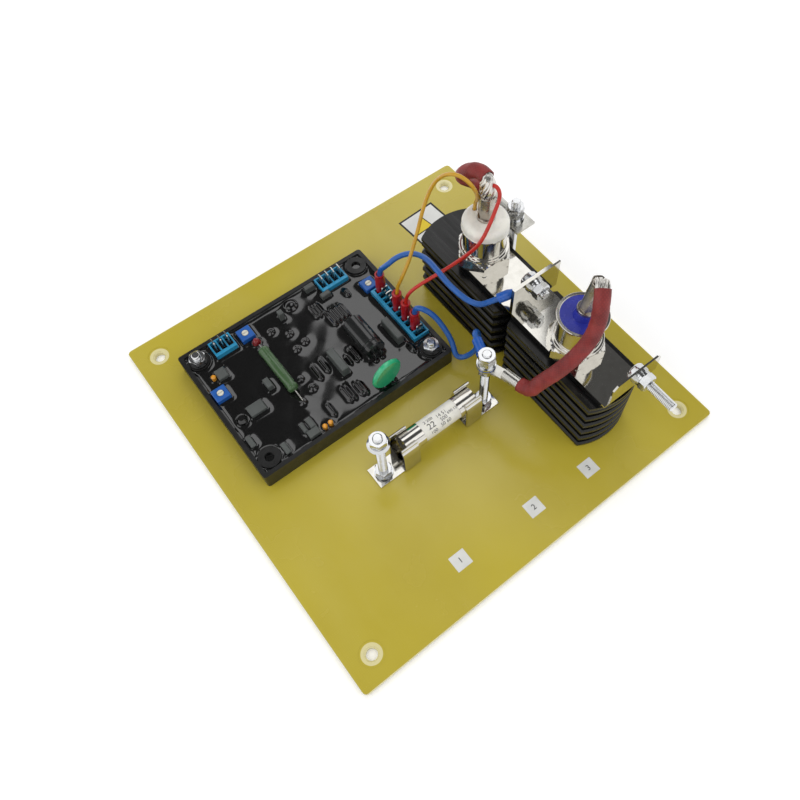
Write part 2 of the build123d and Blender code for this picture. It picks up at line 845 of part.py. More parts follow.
lug_z = top + right_seat_z + m6_nut_h
terminal_z = lug_z + lug_t
rear_lug_z = top + rear_seat_z + m6_nut_h
joint_terminal_end = (joint_bolt_x - 18.6, joint_y + 9.7, top + joint_bolt_h - 9.9)
joint_terminal_dir = (0.75, -0.43, 0.42)
stud_terminal_end = (right_stud_x + 5.5, fuse_y + 15.6, terminal_z + blue_barrel_d / 2 - 0.05)
stud_terminal_dir = (-5.5, -15.6, 0)
thyristor_lug_end = (rear_stud_x - 6.2, rear_stud_y + 19.4, rear_lug_z + 12.2)
thyristor_lug_dir = (0.41, -0.60, -0.69)
diode_lug_end = (right_stud_x + 5.6, fuse_y - 24.3, lug_z + 5.1)
diode_lug_dir = (-0.12, 0.98, -0.12)


def drape(start, end, bends):
    """Points of a lead between two places: share of the way, and how far off the straight line."""
    a, b = Vector(*start), Vector(*end)
    inner = [tuple(a + (b - a) * share + Vector(x, y, z)) for share, x, y, z in bends]
    return [tuple(a), *inner, tuple(b)]


blue_1_bends = [
    (0.11, -0.2, 2.8, 6.4), (0.2, 3.5, 6.7, 11.2), (0.31, 7.2, 8.2, 14.6), (0.43, 6.1, 5.5, 16.7),
    (0.57, -0.2, 2.8, 16.8), (0.69, -5.5, -0.9, 15.2), (0.8, -8.0, -3.4, 11.7), (0.87, -7.3, -4.9, 7.6),
    (0.93, -4.5, -4.2, 3.2),
]
blue_2_bends = [
    (0.06, 0.6, -0.8, 3.9), (0.12, 3.1, -3.2, 2.0), (0.19, 5.0, -4.6, -3.5), (0.27, 5.9, -6.0, -11.0),
    (0.35, 5.9, -7.5, -18.2), (0.43, 4.8, -8.4, -25.3), (0.5, 2.1, -9.9, -31.6),
    (0.54, 4.1, -11.8, -32.7), (0.61, 7.2, -11.6, -29.8), (0.68, 8.6, -10.9, -24.5),
    (0.76, 8.8, -8.6, -18.1), (0.84, 7.9, -5.0, -11.4), (0.91, 6.0, -1.8, -5.5), (0.96, 3.4, 0.4, -1.3),
]
yellow_bends = [
    (0.08, -0.5, -0.8, 6.5), (0.18, 1.9, 1.3, 13.2), (0.31, 3.3, 5.4, 22.1), (0.44, 3.6, 9.0, 33.0),
    (0.55, 3.0, 9.3, 40.6), (0.61, 2.5, 6.8, 45.4), (0.68, 0.4, 1.9, 48.8), (0.73, 0.0, -4.1, 49.3),
    (0.77, 1.0, -8.5, 44.4), (0.82, 1.6, -9.8, 35.0), (0.88, 1.9, -8.3, 23.3), (0.94, 1.7, -4.9, 11.8),
]
red_bends = [
    (0.07, -0.6, -0.2, 2.0), (0.17, 2.1, -2.5, 0.9), (0.27, 6.8, -5.3, -1.2), (0.38, 9.9, -8.0, -3.1),
    (0.49, 9.6, -12.1, -1.5), (0.62, 5.2, -16.9, 1.3), (0.73, 4.9, -15.7, 3.7), (0.82, 6.4, -12.3, 4.7),
    (0.88, 6.6, -10.5, 6.0), (0.92, 4.8, -9.0, 7.4), (0.95, 3.2, -6.3, 6.9), (0.97, 1.8, -3.4, 4.7),
]
thyristor_bends = [
    (0.09, -1.2, 3.1, 3.6), (0.2, -4.6, 6.2, 5.7), (0.33, -8.2, 8.7, 5.0), (0.47, -9.5, 9.6, 3.5),
    (0.6, -8.3, 9.2, 2.2), (0.73, -5.8, 7.3, 1.3), (0.86, -2.8, 4.9, 0.6),
]
diode_bends = [
    (0.06, 0.1, -2.7, 0.3), (0.14, 1.5, -5.0, -0.1), (0.22, 2.6, -6.9, -0.8), (0.31, 2.9, -8.3, -1.3),
    (0.41, 2.5, -8.6, -1.4), (0.52, 1.8, -8.1, -1.2), (0.64, 0.8, -6.6, -1.1), (0.76, 0.3, -4.4, -0.5),
    (0.88, 0.2, -1.7, 0.1),
]

to_joint = before(joint_terminal_end, joint_terminal_dir, 6.0)
to_stud = before(stud_terminal_end, stud_terminal_dir, 4.0)
above_gate = (gate_x, gate_y, thyristor_cap_top + 5.4)
gate_floor = (gate_x, gate_y, thyristor_cap_top - gate_hole_deep)
red_end = (sink_x + 0.5, thyristor_y - 1.2, thyristor_stem_top + 8.7)
sleeve_mouth = (sink_x + 1.3, thyristor_y + 2.4, thyristor_stem_top + 11.2)
to_rear_lug = before(thyristor_lug_end, thyristor_lug_dir, 7.0)
past_sleeve_start = tuple(Vector(*diode_sleeve_start) + diode_sleeve_dir * 4.0)
to_diode_lug = before(diode_lug_end, diode_lug_dir, 7.5)

blue_1_lie = drape(above_mouth("blue_1", 4.0), to_joint, blue_1_bends)
blue_1_route = [bore_floor("blue_1"), *blue_1_lie, joint_terminal_end]
blue_2_lie = drape(above_mouth("blue_2", 3.6), to_stud, blue_2_bends)
blue_2_route = [bore_floor("blue_2"), *blue_2_lie, stud_terminal_end]
yellow_lie = drape(above_mouth("yellow", 4.0), above_gate, yellow_bends)
yellow_route = [bore_floor("yellow"), *yellow_lie, gate_floor]
red_route = [bore_floor("red"), *drape(above_mouth("red", 3.0), red_end, red_bends)]
thyristor_sleeve_route = [*drape(sleeve_mouth, to_rear_lug, thyristor_bends), thyristor_lug_end]
diode_lie = drape(past_sleeve_start, to_diode_lug, diode_bends)
diode_sleeve_route = [diode_sleeve_start, *diode_lie, diode_lug_end]


# Crimped ends and terminals

def barrel(end, direction, diameter, length):
    """Crimped barrel that starts where its lead ends and runs along the lead's direction."""
    return Plane(origin=end, z_dir=unit(direction)) * rod(diameter, length)


def ring_and_tongue(origin, normal, toward, outer_d, thickness, length, width):
    """Flat ring round a stud with a tongue that leads to its barrel."""
    ring = Plane(origin=origin, z_dir=normal) * rod(outer_d, thickness)
    strip = Box(length, width, thickness, align=(Align.MIN, Align.CENTER, Align.MIN))
    plate = ring + Plane(origin=origin, x_dir=toward, z_dir=normal) * strip
    return plate - Plane(origin=origin, z_dir=normal) * rod(m6_clear_d, thickness)


def joint_terminal():
    """Insulated ring terminal under the head of the joint bolt."""
    origin = Vector(joint_bolt_x, joint_y + plate_t, top + joint_bolt_h)
    tip = Vector(*joint_terminal_end) + unit(joint_terminal_dir) * joint_barrel_l
    toward = Vector(tip.X - origin.X, 0, tip.Z - origin.Z)
    flat = ring_and_tongue(origin, (0, 1, 0), toward, ring_d, ring_t, toward.length + 1.0, neck_w - 2.0)
    taper = Cone(blue_barrel_d / 2, joint_cone_tip_d / 2, joint_barrel_l - joint_straight_l, align=bottom)
    body = rod(blue_barrel_d, joint_straight_l) + Pos(0, 0, joint_straight_l) * taper
    return flat + Plane(origin=joint_terminal_end, z_dir=unit(joint_terminal_dir)) * body


def flat_lug(stud_x, stud_y, z, end, direction, diameter, length, thickness, outer_d):
    """Lug that lies flat on a stud's nut, with its barrel along the lead's last run."""
    tip = Vector(*end) + unit(direction) * length
    origin = Vector(stud_x, stud_y, z)
    toward = Vector(tip.X - stud_x, tip.Y - stud_y, 0)
    flat = ring_and_tongue(origin, (0, 0, 1), toward, outer_d, thickness, toward.length + 2.0, neck_w)
    return flat + barrel(end, direction, diameter, length)


def rear_lug():
    """Square tinned lug on the rear stud, its barrel bent up to the sleeved braid."""
    z = rear_lug_z
    tip = Vector(*thyristor_lug_end) + unit(thyristor_lug_dir) * rear_barrel_l
    x0, x1 = rear_stud_x - rear_lug_side / 2, rear_stud_x + rear_lug_side / 2
    pad = block(x0, x1, rear_stud_y - rear_lug_front, tip.Y + 1.0, z, z + lug_t)
    pad -= at(rear_stud_x, rear_stud_y, z) * rod(m6_clear_d, lug_t)
    return pad + barrel(thyristor_lug_end, thyristor_lug_dir, barrel_d, rear_barrel_l)


# Fuse and clips

fuse_x1 = fuse_x0 + fuse_l
fuse_axis_z = top + fuse_z


def fuse_cap(x_open, sign):
    """Pressed cap over one end of the ceramic body."""
    place = Plane(origin=(x_open, fuse_y, fuse_axis_z), z_dir=(sign, 0, 0))
    cup = rod(fuse_d, fuse_cap_l) - rod(ceramic_d + 2 * thread_gap, fuse_cap_l - fuse_cap_wall)
    return place * cup


def jaw(sign):
    """One spring jaw: up beside the fuse, round its flank and out again at the lip."""
    reach = fuse_d / 2 + thread_gap + clip_t / 2
    wrap = math.radians(jaw_wrap)
    foot = Line((reach, clip_base_t / 2), (reach, fuse_z))
    hug = CenterArc((0, fuse_z), reach, 0, jaw_wrap)
    lip_start = (reach * math.cos(wrap), fuse_z + reach * math.sin(wrap))
    lip = JernArc(lip_start, (-math.sin(wrap), math.cos(wrap)), jaw_lip, -jaw_lip_turn)
    profile = Plane.YZ * trace(foot + hug + lip, clip_t)
    spring = extrude(profile, jaw_l)
    return spring if sign > 0 else mirror(spring, Plane.XZ)


def fuse_clip(stud_x, outer_x, jaw_x0):
    """Base strip and two jaws folded from one nickel plated strip."""
    x0, x1 = min(outer_x, jaw_x0), max(outer_x, jaw_x0 + jaw_l)
    clip = block(x0, x1, fuse_y - clip_w / 2, fuse_y + clip_w / 2, top, top + clip_base_t)
    for sign in (-1, 1):
        clip += at(jaw_x0, fuse_y, top) * jaw(sign)
    return clip - at(stud_x, fuse_y, top) * rod(m6_clear_d, clip_base_t)


def nut_up(x, y, z, height=m6_nut_h):
    return at(x, y, z) * hex_nut(m6_af, height, m6_d + 2 * thread_gap)


def flat_washer(x, y, z, diameter=m6_washer_d, thickness=m6_washer_t):
    return at(x, y, z) * washer(diameter, m6_clear_d, thickness)


def flange_nut(x, y, z):
    bore_d = m6_d + 2 * thread_gap
    flange = Cone(flange_nut_d / 2, m6_af / 2 + 0.6, flange_nut_t, align=bottom) - rod(bore_d, flange_nut_t)
    upper = Pos(0, 0, flange_nut_t) * hex_nut(m6_af, m6_nut_h, bore_d)
    return at(x, y, z) * (flange + upper)


def plate_bolt(x, y, z, grip, out):
    """Hexagon bolt along -Y: its head bears at y, and it ends past the nut."""
    covered = grip + m6_washer_t + m6_spring_t + m6_nut_h + thread_show
    free = chamfer(rod(m6_d, out - thread_show).edges().group_by(Axis.Z)[-1], stud_end_chamfer)
    shank = rod(engaged_d, covered) + Pos(0, 0, covered) * free
    head = Pos(0, 0, -m6_head_h) * hexagon(m6_af, m6_head_h)
    return Plane(origin=(x, y, z), z_dir=(0, -1, 0)) * (shank + head)


def plate_stack(x, y, z):
    """Washer, spring washer and nut on a plate bolt, from the plate outwards along -Y."""
    facing = (0, -1, 0)
    flat = Plane(origin=(x, y, z), z_dir=facing) * washer(m6_washer_d, m6_clear_d, m6_washer_t)
    y -= m6_washer_t
    spring = Plane(origin=(x, y, z), z_dir=facing) * washer(m6_spring_d, m6_clear_d, m6_spring_t)
    y -= m6_spring_t
    nut = Plane(origin=(x, y, z), z_dir=facing) * hex_nut(m6_af, m6_nut_h, engaged_d + 2 * thread_gap)
    return flat, spring, nut


# Pieces of the module

film_capacitors = [moulded(place) for place in film_places]
potted_parts = [moulded(place) for place in potted_places]
potted_parts += [domed(x, y, d, rise) for x, y, d, rise in potted_round]
tantalum_capacitors = [domed(x, y, bead_d, bead_rise) for x, y in bead_places]
transistor = domed(*transistor_place, transistor_d, transistor_rise)
trimmers = [trimmer_body(x, y) for x, y in trimmer_places()]
strips = {"long": long_strip, "back": back_strip, "left": left_strip}
frames = {name: strip_frame(place) for name, place in strips.items()}
blades = []
for place in strips.values():
    for way in range(place[2]):
        blades.append(blade(*cell_centre(place, way), place[3]))
resistor = power_resistor()
can = electrolytic()
disc = varistor()
signal_lamp = lamp()
pcb = control_board()
inserts = film_capacitors + potted_parts + tantalum_capacitors + [transistor] + trimmers
inserts += list(frames.values()) + blades + [resistor, can, disc, signal_lamp, pcb]

save(base_board(), "base_board")
save(tray(), "module_tray")
save(pcb, "control_board")
save(potting(inserts), "module_potting")
group(film_capacitors, "film_capacitors")
group(potted_parts, "potted_components")
group(tantalum_capacitors, "tantalum_capacitors")
save(transistor, "transistor")
group(trimmers, "trimmer_bodies")
for number, place in enumerate(trimmer_places()):
    save(trimmer_rotor(*place), f"trimmer_rotor_{number + 1}")
save(frames["long"], "plug_strip_ten_way")
save(frames["back"], "plug_strip_four_way")
save(frames["left"], "plug_strip_three_way")
group(blades, "plug_blades")
wire_sizes = {"blue_1": blue_d, "blue_2": blue_d, "yellow": thin_d, "red": thin_d}
group([receptacle(wire, size) for wire, size in wire_sizes.items()], "push_on_receptacles")
save(resistor, "power_resistor")
save(can, "electrolytic_capacitor")
save(disc, "varistor")
save(signal_lamp, "indicator_lamp")

rim_z = top + tray_h
module_screw_top = rim_z + module_washer_t + module_nut_h + module_screw_out
group([at(x, y) * countersunk_rod(module_screw_top) for x, y in screwed_posts], "module_screws")
module_washers = [flat_washer(x, y, rim_z, module_washer_d, module_washer_t) for x, y in screwed_posts]
group(module_washers, "module_washers")
group([nut_up(x, y, rim_z + module_washer_t, module_nut_h) for x, y in screwed_posts], "module_nuts")

# Power side

save(heat_sink(rear_sink_y, thyristor_y), "heat_sink_rear")
save(heat_sink(front_sink_y, diode_y), "heat_sink_front")
group([at(x, y) * countersunk_rod(top + sink_screw_deep) for x, y in sink_screws], "heat_sink_screws")
save(rear_plate(), "conductor_plate_rear")
save(front_plate(), "conductor_plate_front")

save(cell_base(thyristor_y, thyristor_shell_d, thyristor_shell_h, shell_rim_d, shell_rim_h), "thyristor_base")
save(thyristor_cap(), "thyristor_cap")
thyristor_tube = stem(thyristor_stem_d, thyristor_cap_z, thyristor_stem_top, thyristor_cap_top, thyristor_y)
save(thyristor_tube, "thyristor_stem")
save(thyristor_braid(), "thyristor_braid")
diode_base = cell_base(diode_y, diode_shell_d, diode_shell_h, diode_rim_d, diode_rim_h)
diode_base -= at(sink_x, diode_y, diode_seal_z) * rod(seal_d + 2 * lead_fit, diode_rim_top - diode_seal_z)
save(diode_base, "diode_base")
save(diode_seal(), "diode_seal")
save(diode_stem(), "diode_stem")
save(diode_braid(), "diode_braid")

bolt_z = top + joint_bolt_h
joint_head_y = joint_y + plate_t + ring_t
joint_back_y = joint_y - plate_t
end_head_y = end_flange_y + plate_t
end_z = top + end_bolt_h
joint_bolt = plate_bolt(joint_bolt_x, joint_head_y, bolt_z, joint_head_y - joint_back_y, joint_bolt_out)
end_bolt = plate_bolt(end_bolt_x, end_head_y, end_z, plate_t, end_bolt_out)
joint_stack = plate_stack(joint_bolt_x, joint_back_y, bolt_z)
end_stack = plate_stack(end_bolt_x, end_flange_y, end_z)
save(joint_bolt, "joint_bolt")
save(end_bolt, "output_bolt")
group([joint_stack[0], joint_stack[1], end_stack[0], end_stack[1]], "plate_washers")
group([joint_stack[2], end_stack[2]], "plate_nuts")
save(joint_terminal(), "joint_terminal")

# Fuse side

ceramic = Plane(origin=(fuse_x0 + fuse_cap_wall, fuse_y, fuse_axis_z), z_dir=(1, 0, 0))
save(ceramic * rod(ceramic_d, fuse_l - 2 * fuse_cap_wall), "fuse_body")
group([fuse_cap(fuse_x0 + fuse_cap_l, -1), fuse_cap(fuse_x1 - fuse_cap_l, 1)], "fuse_caps")
save(fuse_clip(left_stud_x, left_stud_x - clip_margin, fuse_x0 - left_jaw_out), "fuse_clip_left")
save(fuse_clip(right_stud_x, right_stud_x + clip_margin, fuse_x1 + right_jaw_out - jaw_l), "fuse_clip_right")

foot_z = top + clip_base_t
foot_nut_z = foot_z + m6_washer_t
seat_z = top + right_seat_z
upper_washer_z = terminal_z + ring_t
upper_spring_z = upper_washer_z + m6_washer_t
upper_nut_z = upper_spring_z + m6_spring_t
group([at(left_stud_x, fuse_y) * countersunk_rod(top + left_stud_h),
       at(right_stud_x, fuse_y) * countersunk_rod(top + right_stud_h)], "fuse_studs")
fuse_nuts = [nut_up(x, fuse_y, foot_nut_z) for x in (left_stud_x, right_stud_x)]
fuse_nuts.append(flange_nut(left_stud_x, fuse_y, top + left_flange_nut_z))
fuse_nuts.append(nut_up(right_stud_x, fuse_y, seat_z))
fuse_nuts.append(nut_up(right_stud_x, fuse_y, upper_nut_z))
fuse_nuts.append(nut_up(right_stud_x, fuse_y, upper_nut_z + m6_nut_h, thin_nut_h))
fuse_washers = [flat_washer(x, fuse_y, foot_z) for x in (left_stud_x, right_stud_x)]
fuse_washers.append(flat_washer(right_stud_x, fuse_y, upper_washer_z))
fuse_washers.append(flat_washer(right_stud_x, fuse_y, upper_spring_z, m6_spring_d, m6_spring_t))
diode_end = (diode_lug_end, diode_lug_dir, barrel_d, diode_barrel_l)
blue_end = (stud_terminal_end, stud_terminal_dir, blue_barrel_d, blue_barrel_l)
save(flat_lug(right_stud_x, fuse_y, lug_z, *diode_end, lug_t, ring_d), "diode_lug")
save(flat_lug(right_stud_x, fuse_y, terminal_z, *blue_end, ring_t, ring_d), "stud_terminal")

# Rear stud

rear_nut_z = top + rear_seat_z
rear_washer_z = rear_nut_z + m6_nut_h + lug_t
rear_spring_z = rear_washer_z + m6_washer_t
rear_top_nut_z = rear_spring_z + m6_spring_t
save(at(rear_stud_x, rear_stud_y) * countersunk_rod(top + rear_stud_h), "rear_stud")
rear_nuts = [nut_up(rear_stud_x, rear_stud_y, top + m6_washer_t)]
rear_nuts.append(nut_up(rear_stud_x, rear_stud_y, rear_nut_z))
rear_nuts.append(nut_up(rear_stud_x, rear_stud_y, rear_top_nut_z))
rear_nuts.append(nut_up(rear_stud_x, rear_stud_y, rear_top_nut_z + m6_nut_h, thin_nut_h))
group(fuse_nuts + rear_nuts, "stud_nuts")
rear_washers = [flat_washer(rear_stud_x, rear_stud_y, top)]
rear_washers.append(flat_washer(rear_stud_x, rear_stud_y, rear_washer_z))
rear_washers.append(flat_washer(rear_stud_x, rear_stud_y, rear_spring_z, m6_spring_d, m6_spring_t))
group(fuse_washers + rear_washers, "stud_washers")
save(rear_lug(), "thyristor_lug")

# Leads

save(lead(blue_1_route, blue_d, "blue wire to the joint"), "wire_blue_1")
save(lead(blue_2_route, blue_d, "blue wire to the fuse stud"), "wire_blue_2")
save(lead(yellow_route, thin_d, "yellow gate wire"), "wire_yellow")
save(lead(red_route, thin_d, "red wire"), "wire_red")
save(lead(thyristor_sleeve_route, sleeve_d, "thyristor lead"), "thyristor_sleeve")
save(lead(diode_sleeve_route, sleeve_d, "diode lead"), "diode_sleeve")
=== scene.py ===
"""Voltage regulator on its board, dressed for rendering. Metres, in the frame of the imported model."""
import json
import math

import bmesh
import bpy
import numpy as np
from mathutils import Matrix, Vector


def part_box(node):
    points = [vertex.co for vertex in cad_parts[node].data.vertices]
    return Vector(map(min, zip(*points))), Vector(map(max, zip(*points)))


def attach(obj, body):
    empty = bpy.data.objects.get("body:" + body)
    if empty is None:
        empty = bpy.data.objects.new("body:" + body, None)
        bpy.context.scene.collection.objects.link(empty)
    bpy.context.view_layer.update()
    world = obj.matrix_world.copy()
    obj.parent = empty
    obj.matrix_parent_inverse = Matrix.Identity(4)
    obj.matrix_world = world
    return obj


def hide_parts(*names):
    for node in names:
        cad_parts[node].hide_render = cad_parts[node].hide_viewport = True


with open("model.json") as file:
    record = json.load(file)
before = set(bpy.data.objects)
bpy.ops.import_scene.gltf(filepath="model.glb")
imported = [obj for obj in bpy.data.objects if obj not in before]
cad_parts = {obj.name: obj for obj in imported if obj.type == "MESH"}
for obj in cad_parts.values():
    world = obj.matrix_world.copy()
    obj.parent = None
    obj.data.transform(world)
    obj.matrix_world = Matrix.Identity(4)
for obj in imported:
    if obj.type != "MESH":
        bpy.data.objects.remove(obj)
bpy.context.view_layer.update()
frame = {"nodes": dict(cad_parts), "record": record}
nodes = frame["nodes"]
MAIN = "regulator"
MM = 0.001
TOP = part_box("base_board")[1].z


# Materials

class Surface:
    """A principled material with its own texture chain."""

    def __init__(self, name, color, rough, metallic=0.0, coat=0.0, coat_rough=0.05, specular=0.5):
        self.material = bpy.data.materials.new(name)
        self.material.use_nodes = True
        self.tree = self.material.node_tree
        self.bsdf = self.tree.nodes["Principled BSDF"]
        put = self.bsdf.inputs
        put["Base Color"].default_value = (*color, 1.0)
        put["Roughness"].default_value = rough
        put["Metallic"].default_value = metallic
        put["Coat Weight"].default_value = coat
        put["Coat Roughness"].default_value = coat_rough
        put["Specular IOR Level"].default_value = specular
        self.coord = self.node("ShaderNodeTexCoord")
        self.last_bump = None

    def node(self, kind):
        return self.tree.nodes.new(kind)

    def link(self, a, b):
        self.tree.links.new(a, b)

    def space(self, scale=(1, 1, 1), rotate=(0, 0, 0), uv=False):
        """Texture space of the object, or of its UV map, stretched and turned."""
        mapping = self.node("ShaderNodeMapping")
        mapping.inputs["Scale"].default_value = scale
        mapping.inputs["Rotation"].default_value = rotate
        self.link(self.coord.outputs["UV" if uv else "Object"], mapping.inputs["Vector"])
        return mapping.outputs["Vector"]

    def noise(self, scale, detail, stretch=(1, 1, 1)):
        made = self.node("ShaderNodeTexNoise")
        made.inputs["Scale"].default_value = scale
        made.inputs["Detail"].default_value = detail
        self.link(self.space(stretch), made.inputs["Vector"])
        return made.outputs["Fac"]

    def wave(self, scale, direction, distortion=0.0, rotate=(0, 0, 0), uv=False):
        made = self.node("ShaderNodeTexWave")
        made.bands_direction = direction
        made.inputs["Scale"].default_value = scale
        made.inputs["Distortion"].default_value = distortion
        self.link(self.space(rotate=rotate, uv=uv), made.inputs["Vector"])
        return made.outputs["Fac"]

    def remap(self, value, low, high, start, stop):
        """Runs from low to high while the value goes from start to stop."""
        made = self.node("ShaderNodeMapRange")
        made.inputs["From Min"].default_value = start
        made.inputs["From Max"].default_value = stop
        made.inputs["To Min"].default_value = low
        made.inputs["To Max"].default_value = high
        self.link(value, made.inputs["Value"])
        return made.outputs["Result"]

    def math(self, operation, a, b=0.0):
        made = self.node("ShaderNodeMath")
        made.operation = operation
        for index, value in enumerate((a, b)):
            if isinstance(value, (int, float)):
                made.inputs[index].default_value = value
            else:
                self.link(value, made.inputs[index])
        return made.outputs["Value"]

    def tint(self, factor, other, most, start=0.0, stop=1.0):
        """Mixes another colour in, from none at the start to most at the stop of the factor."""
        mix = self.node("ShaderNodeMix")
        mix.data_type = "RGBA"
        source = self.bsdf.inputs["Base Color"]
        if source.is_linked:
            self.link(source.links[0].from_socket, mix.inputs["A"])
        else:
            mix.inputs["A"].default_value = source.default_value[:]
        mix.inputs["B"].default_value = (*other, 1.0)
        self.link(self.remap(factor, 0.0, most, start, stop), mix.inputs["Factor"])
        self.link(mix.outputs["Result"], source)

    def rough_by(self, factor, low, high):
        """Roughness that follows the middle of a noise."""
        self.link(self.remap(factor, low, high, 0.3, 0.7), self.bsdf.inputs["Roughness"])

    def bump(self, factor, strength, distance):
        """Adds a bump on top of the ones before it."""
        made = self.node("ShaderNodeBump")
        made.inputs["Strength"].default_value = strength
        made.inputs["Distance"].default_value = distance
        self.link(factor, made.inputs["Height"])
        if self.last_bump:
            self.link(self.last_bump, made.inputs["Normal"])
        self.link(made.outputs["Normal"], self.bsdf.inputs["Normal"])
        self.last_bump = made.outputs["Normal"]


def lin(r, g, b):
    """Linear colour from screen values of 0 to 255."""
    def one(v):
        v /= 255.0
        return v / 12.92 if v <= 0.04045 else ((v + 0.055) / 1.055) ** 2.4
    return (one(r), one(g), one(b))


surfaces = {}


def surface(slot, color, rough, **kind):
    surfaces[slot] = Surface(slot + "_look", color, rough, **kind)
    return surfaces[slot]


def plain_moulding(slot, color, rough, grain=900, depth=0.15, **kind):
    """Moulded or dipped part: slight shading, uneven gloss and a fine grain."""
    s = surface(slot, color, rough, **kind)
    shade = tuple(c * 0.72 for c in color)
    s.tint(s.noise(120, 4), shade, 0.6, 0.35, 0.75)
    s.rough_by(s.noise(220, 3), rough * 0.8, min(1.0, rough * 1.3))
    s.bump(s.noise(grain, 2), depth, 0.08 * MM)
    return s


def plated(slot, color, rough, dull=(0.4, 0.4, 0.39), wear=0.3, bump=0.06):
    """Metal with duller patches."""
    s = surface(slot, color, rough, metallic=1.0)
    s.tint(s.noise(160, 5), dull, wear, 0.45, 0.8)
    s.rough_by(s.noise(120, 4), rough * 0.8, rough * 1.3)
    s.bump(s.noise(700, 3), bump, 0.06 * MM)


def board_look():
    """Yellow laminate: cloudy, faintly woven, pale in its spot faces and on its cut edges."""
    hole_offset = 124 * MM
    spot_face = 6.4 * MM
    cut_edge = 139.7 * MM
    s = surface("board", lin(194, 177, 60), 0.24, coat=0.35, coat_rough=0.2)
    s.tint(s.noise(9, 5), lin(180, 162, 46), 0.8, 0.35, 0.7)
    s.tint(s.noise(38, 4, (1, 0.35, 1)), lin(196, 180, 76), 0.45, 0.5, 0.75)
    weave = s.math("ADD", s.wave(260, "X", 0.6), s.wave(260, "Y", 0.6))
    s.tint(weave, lin(160, 142, 40), 0.16, 0.2, 1.8)
    s.tint(s.noise(1500, 1), lin(214, 202, 120), 0.5, 0.72, 0.8)
    split = s.node("ShaderNodeSeparateXYZ")
    s.link(s.coord.outputs["Object"], split.inputs["Vector"])
    across = [s.math("ABSOLUTE", split.outputs[axis]) for axis in ("X", "Y")]
    off_hole = [s.math("POWER", s.math("SUBTRACT", value, hole_offset), 2.0) for value in across]
    from_hole = s.math("SQRT", s.math("ADD", *off_hole))
    s.tint(s.math("LESS_THAN", from_hole, spot_face), lin(232, 224, 176), 0.75)
    s.tint(s.math("GREATER_THAN", s.math("MAXIMUM", *across), cut_edge), lin(214, 204, 140), 0.8)
    s.rough_by(s.noise(16, 4), 0.16, 0.34)
    s.bump(weave, 0.05, 0.05 * MM)
    s.bump(s.noise(45, 3), 0.08, 0.4 * MM)


def potting_look():
    s = surface("potting", (0.003, 0.003, 0.003), 0.08, coat=0.4, specular=0.8)
    s.rough_by(s.noise(60, 3), 0.05, 0.14)
    s.bump(s.noise(70, 2), 0.10, 0.3 * MM)


def sink_look():
    """Black anodised metal, drawn along its fins."""
    s = surface("sink_black", (0.005, 0.005, 0.005), 0.30, specular=0.45)
    s.rough_by(s.noise(500, 3, (1, 0.06, 1)), 0.22, 0.38)
    s.bump(s.noise(900, 2, (1, 0.05, 1)), 0.10, 0.06 * MM)


def sleeving_look():
    """Woven sleeve, shaded by two crossed waves in its UV map."""
    threads_per_metre = 320
    s = surface("sleeving", lin(138, 36, 34), 0.5, coat=0.12, coat_rough=0.3)
    one_way = s.wave(threads_per_metre, "DIAGONAL", uv=True)
    other_way = s.wave(threads_per_metre, "DIAGONAL", rotate=(0, 0, math.pi / 2), uv=True)
    cloth = s.math("MULTIPLY", one_way, other_way)
    s.tint(s.noise(110, 4), lin(96, 18, 20), 0.9, 0.35, 0.7)
    s.tint(cloth, lin(160, 52, 44), 0.3, 0.1, 0.8)
    s.rough_by(s.noise(160, 3), 0.45, 0.75)
    s.bump(cloth, 0.4, 0.12 * MM)
    s.bump(s.noise(240, 4), 0.35, 0.5 * MM)


board_look()
potting_look()
sink_look()
sleeving_look()

plain_moulding("tray", (0.012, 0.012, 0.012), 0.34, 1300, 0.12)
plain_moulding("circuit_board", (0.03, 0.12, 0.05), 0.4)
plain_moulding("film_capacitor", lin(84, 88, 86), 0.42, 1400, 0.2)
plain_moulding("coated_part", (0.006, 0.006, 0.006), 0.1, 200, 0.1, coat=0.5)
plain_moulding("orange_bead", lin(232, 158, 40), 0.22, 300, 0.15, coat=0.6)
plain_moulding("black_moulding", (0.006, 0.006, 0.006), 0.14, 200, 0.1, coat=0.6)
plain_moulding("trimmer_blue", lin(24, 92, 176), 0.3, 900, 0.1)
plain_moulding("rotor_white", lin(222, 220, 206), 0.38, 900, 0.1)
plain_moulding("strip_blue", lin(40, 146, 190), 0.28, 900, 0.1)
plain_moulding("red_sleeve", lin(176, 20, 28), 0.3, 700, 0.12, coat=0.2)
plain_moulding("can_black", (0.012, 0.013, 0.013), 0.2, 300, 0.1, coat=0.5)
plain_moulding("varistor_green", lin(50, 182, 128), 0.2, 160, 0.12, coat=0.7)
plain_moulding("lamp_red", lin(126, 10, 18), 0.08, 300, 0.03, coat=0.8)
plain_moulding("black_fibre", (0.008, 0.008, 0.008), 0.3)
plain_moulding("seal_blue", lin(46, 54, 160), 0.25, 200, 0.12, coat=0.3)
plain_moulding("terminal_blue", lin(24, 92, 186), 0.3, 300, 0.1, coat=0.2)
plain_moulding("wire_blue", lin(28, 92, 172), 0.32, 500, 0.06, coat=0.15)
plain_moulding("wire_red", lin(196, 36, 24), 0.32, 500, 0.06, coat=0.15)
plain_moulding("wire_yellow", lin(206, 156, 34), 0.32, 500, 0.06, coat=0.15)

vitreous = plain_moulding("resistor_green", lin(64, 94, 56), 0.26, 500, 0.1, coat=0.5)
vitreous.bump(vitreous.wave(520, "Y", 0.3), 0.16, 0.1 * MM)
ceramic = plain_moulding("white_ceramic", lin(240, 238, 229), 0.30, 300, 0.04, coat=0.15)
ceramic.bsdf.inputs["Subsurface Weight"].default_value = 0.2
ceramic.bsdf.inputs["Subsurface Radius"].default_value = (4 * MM, 4 * MM, 3 * MM)

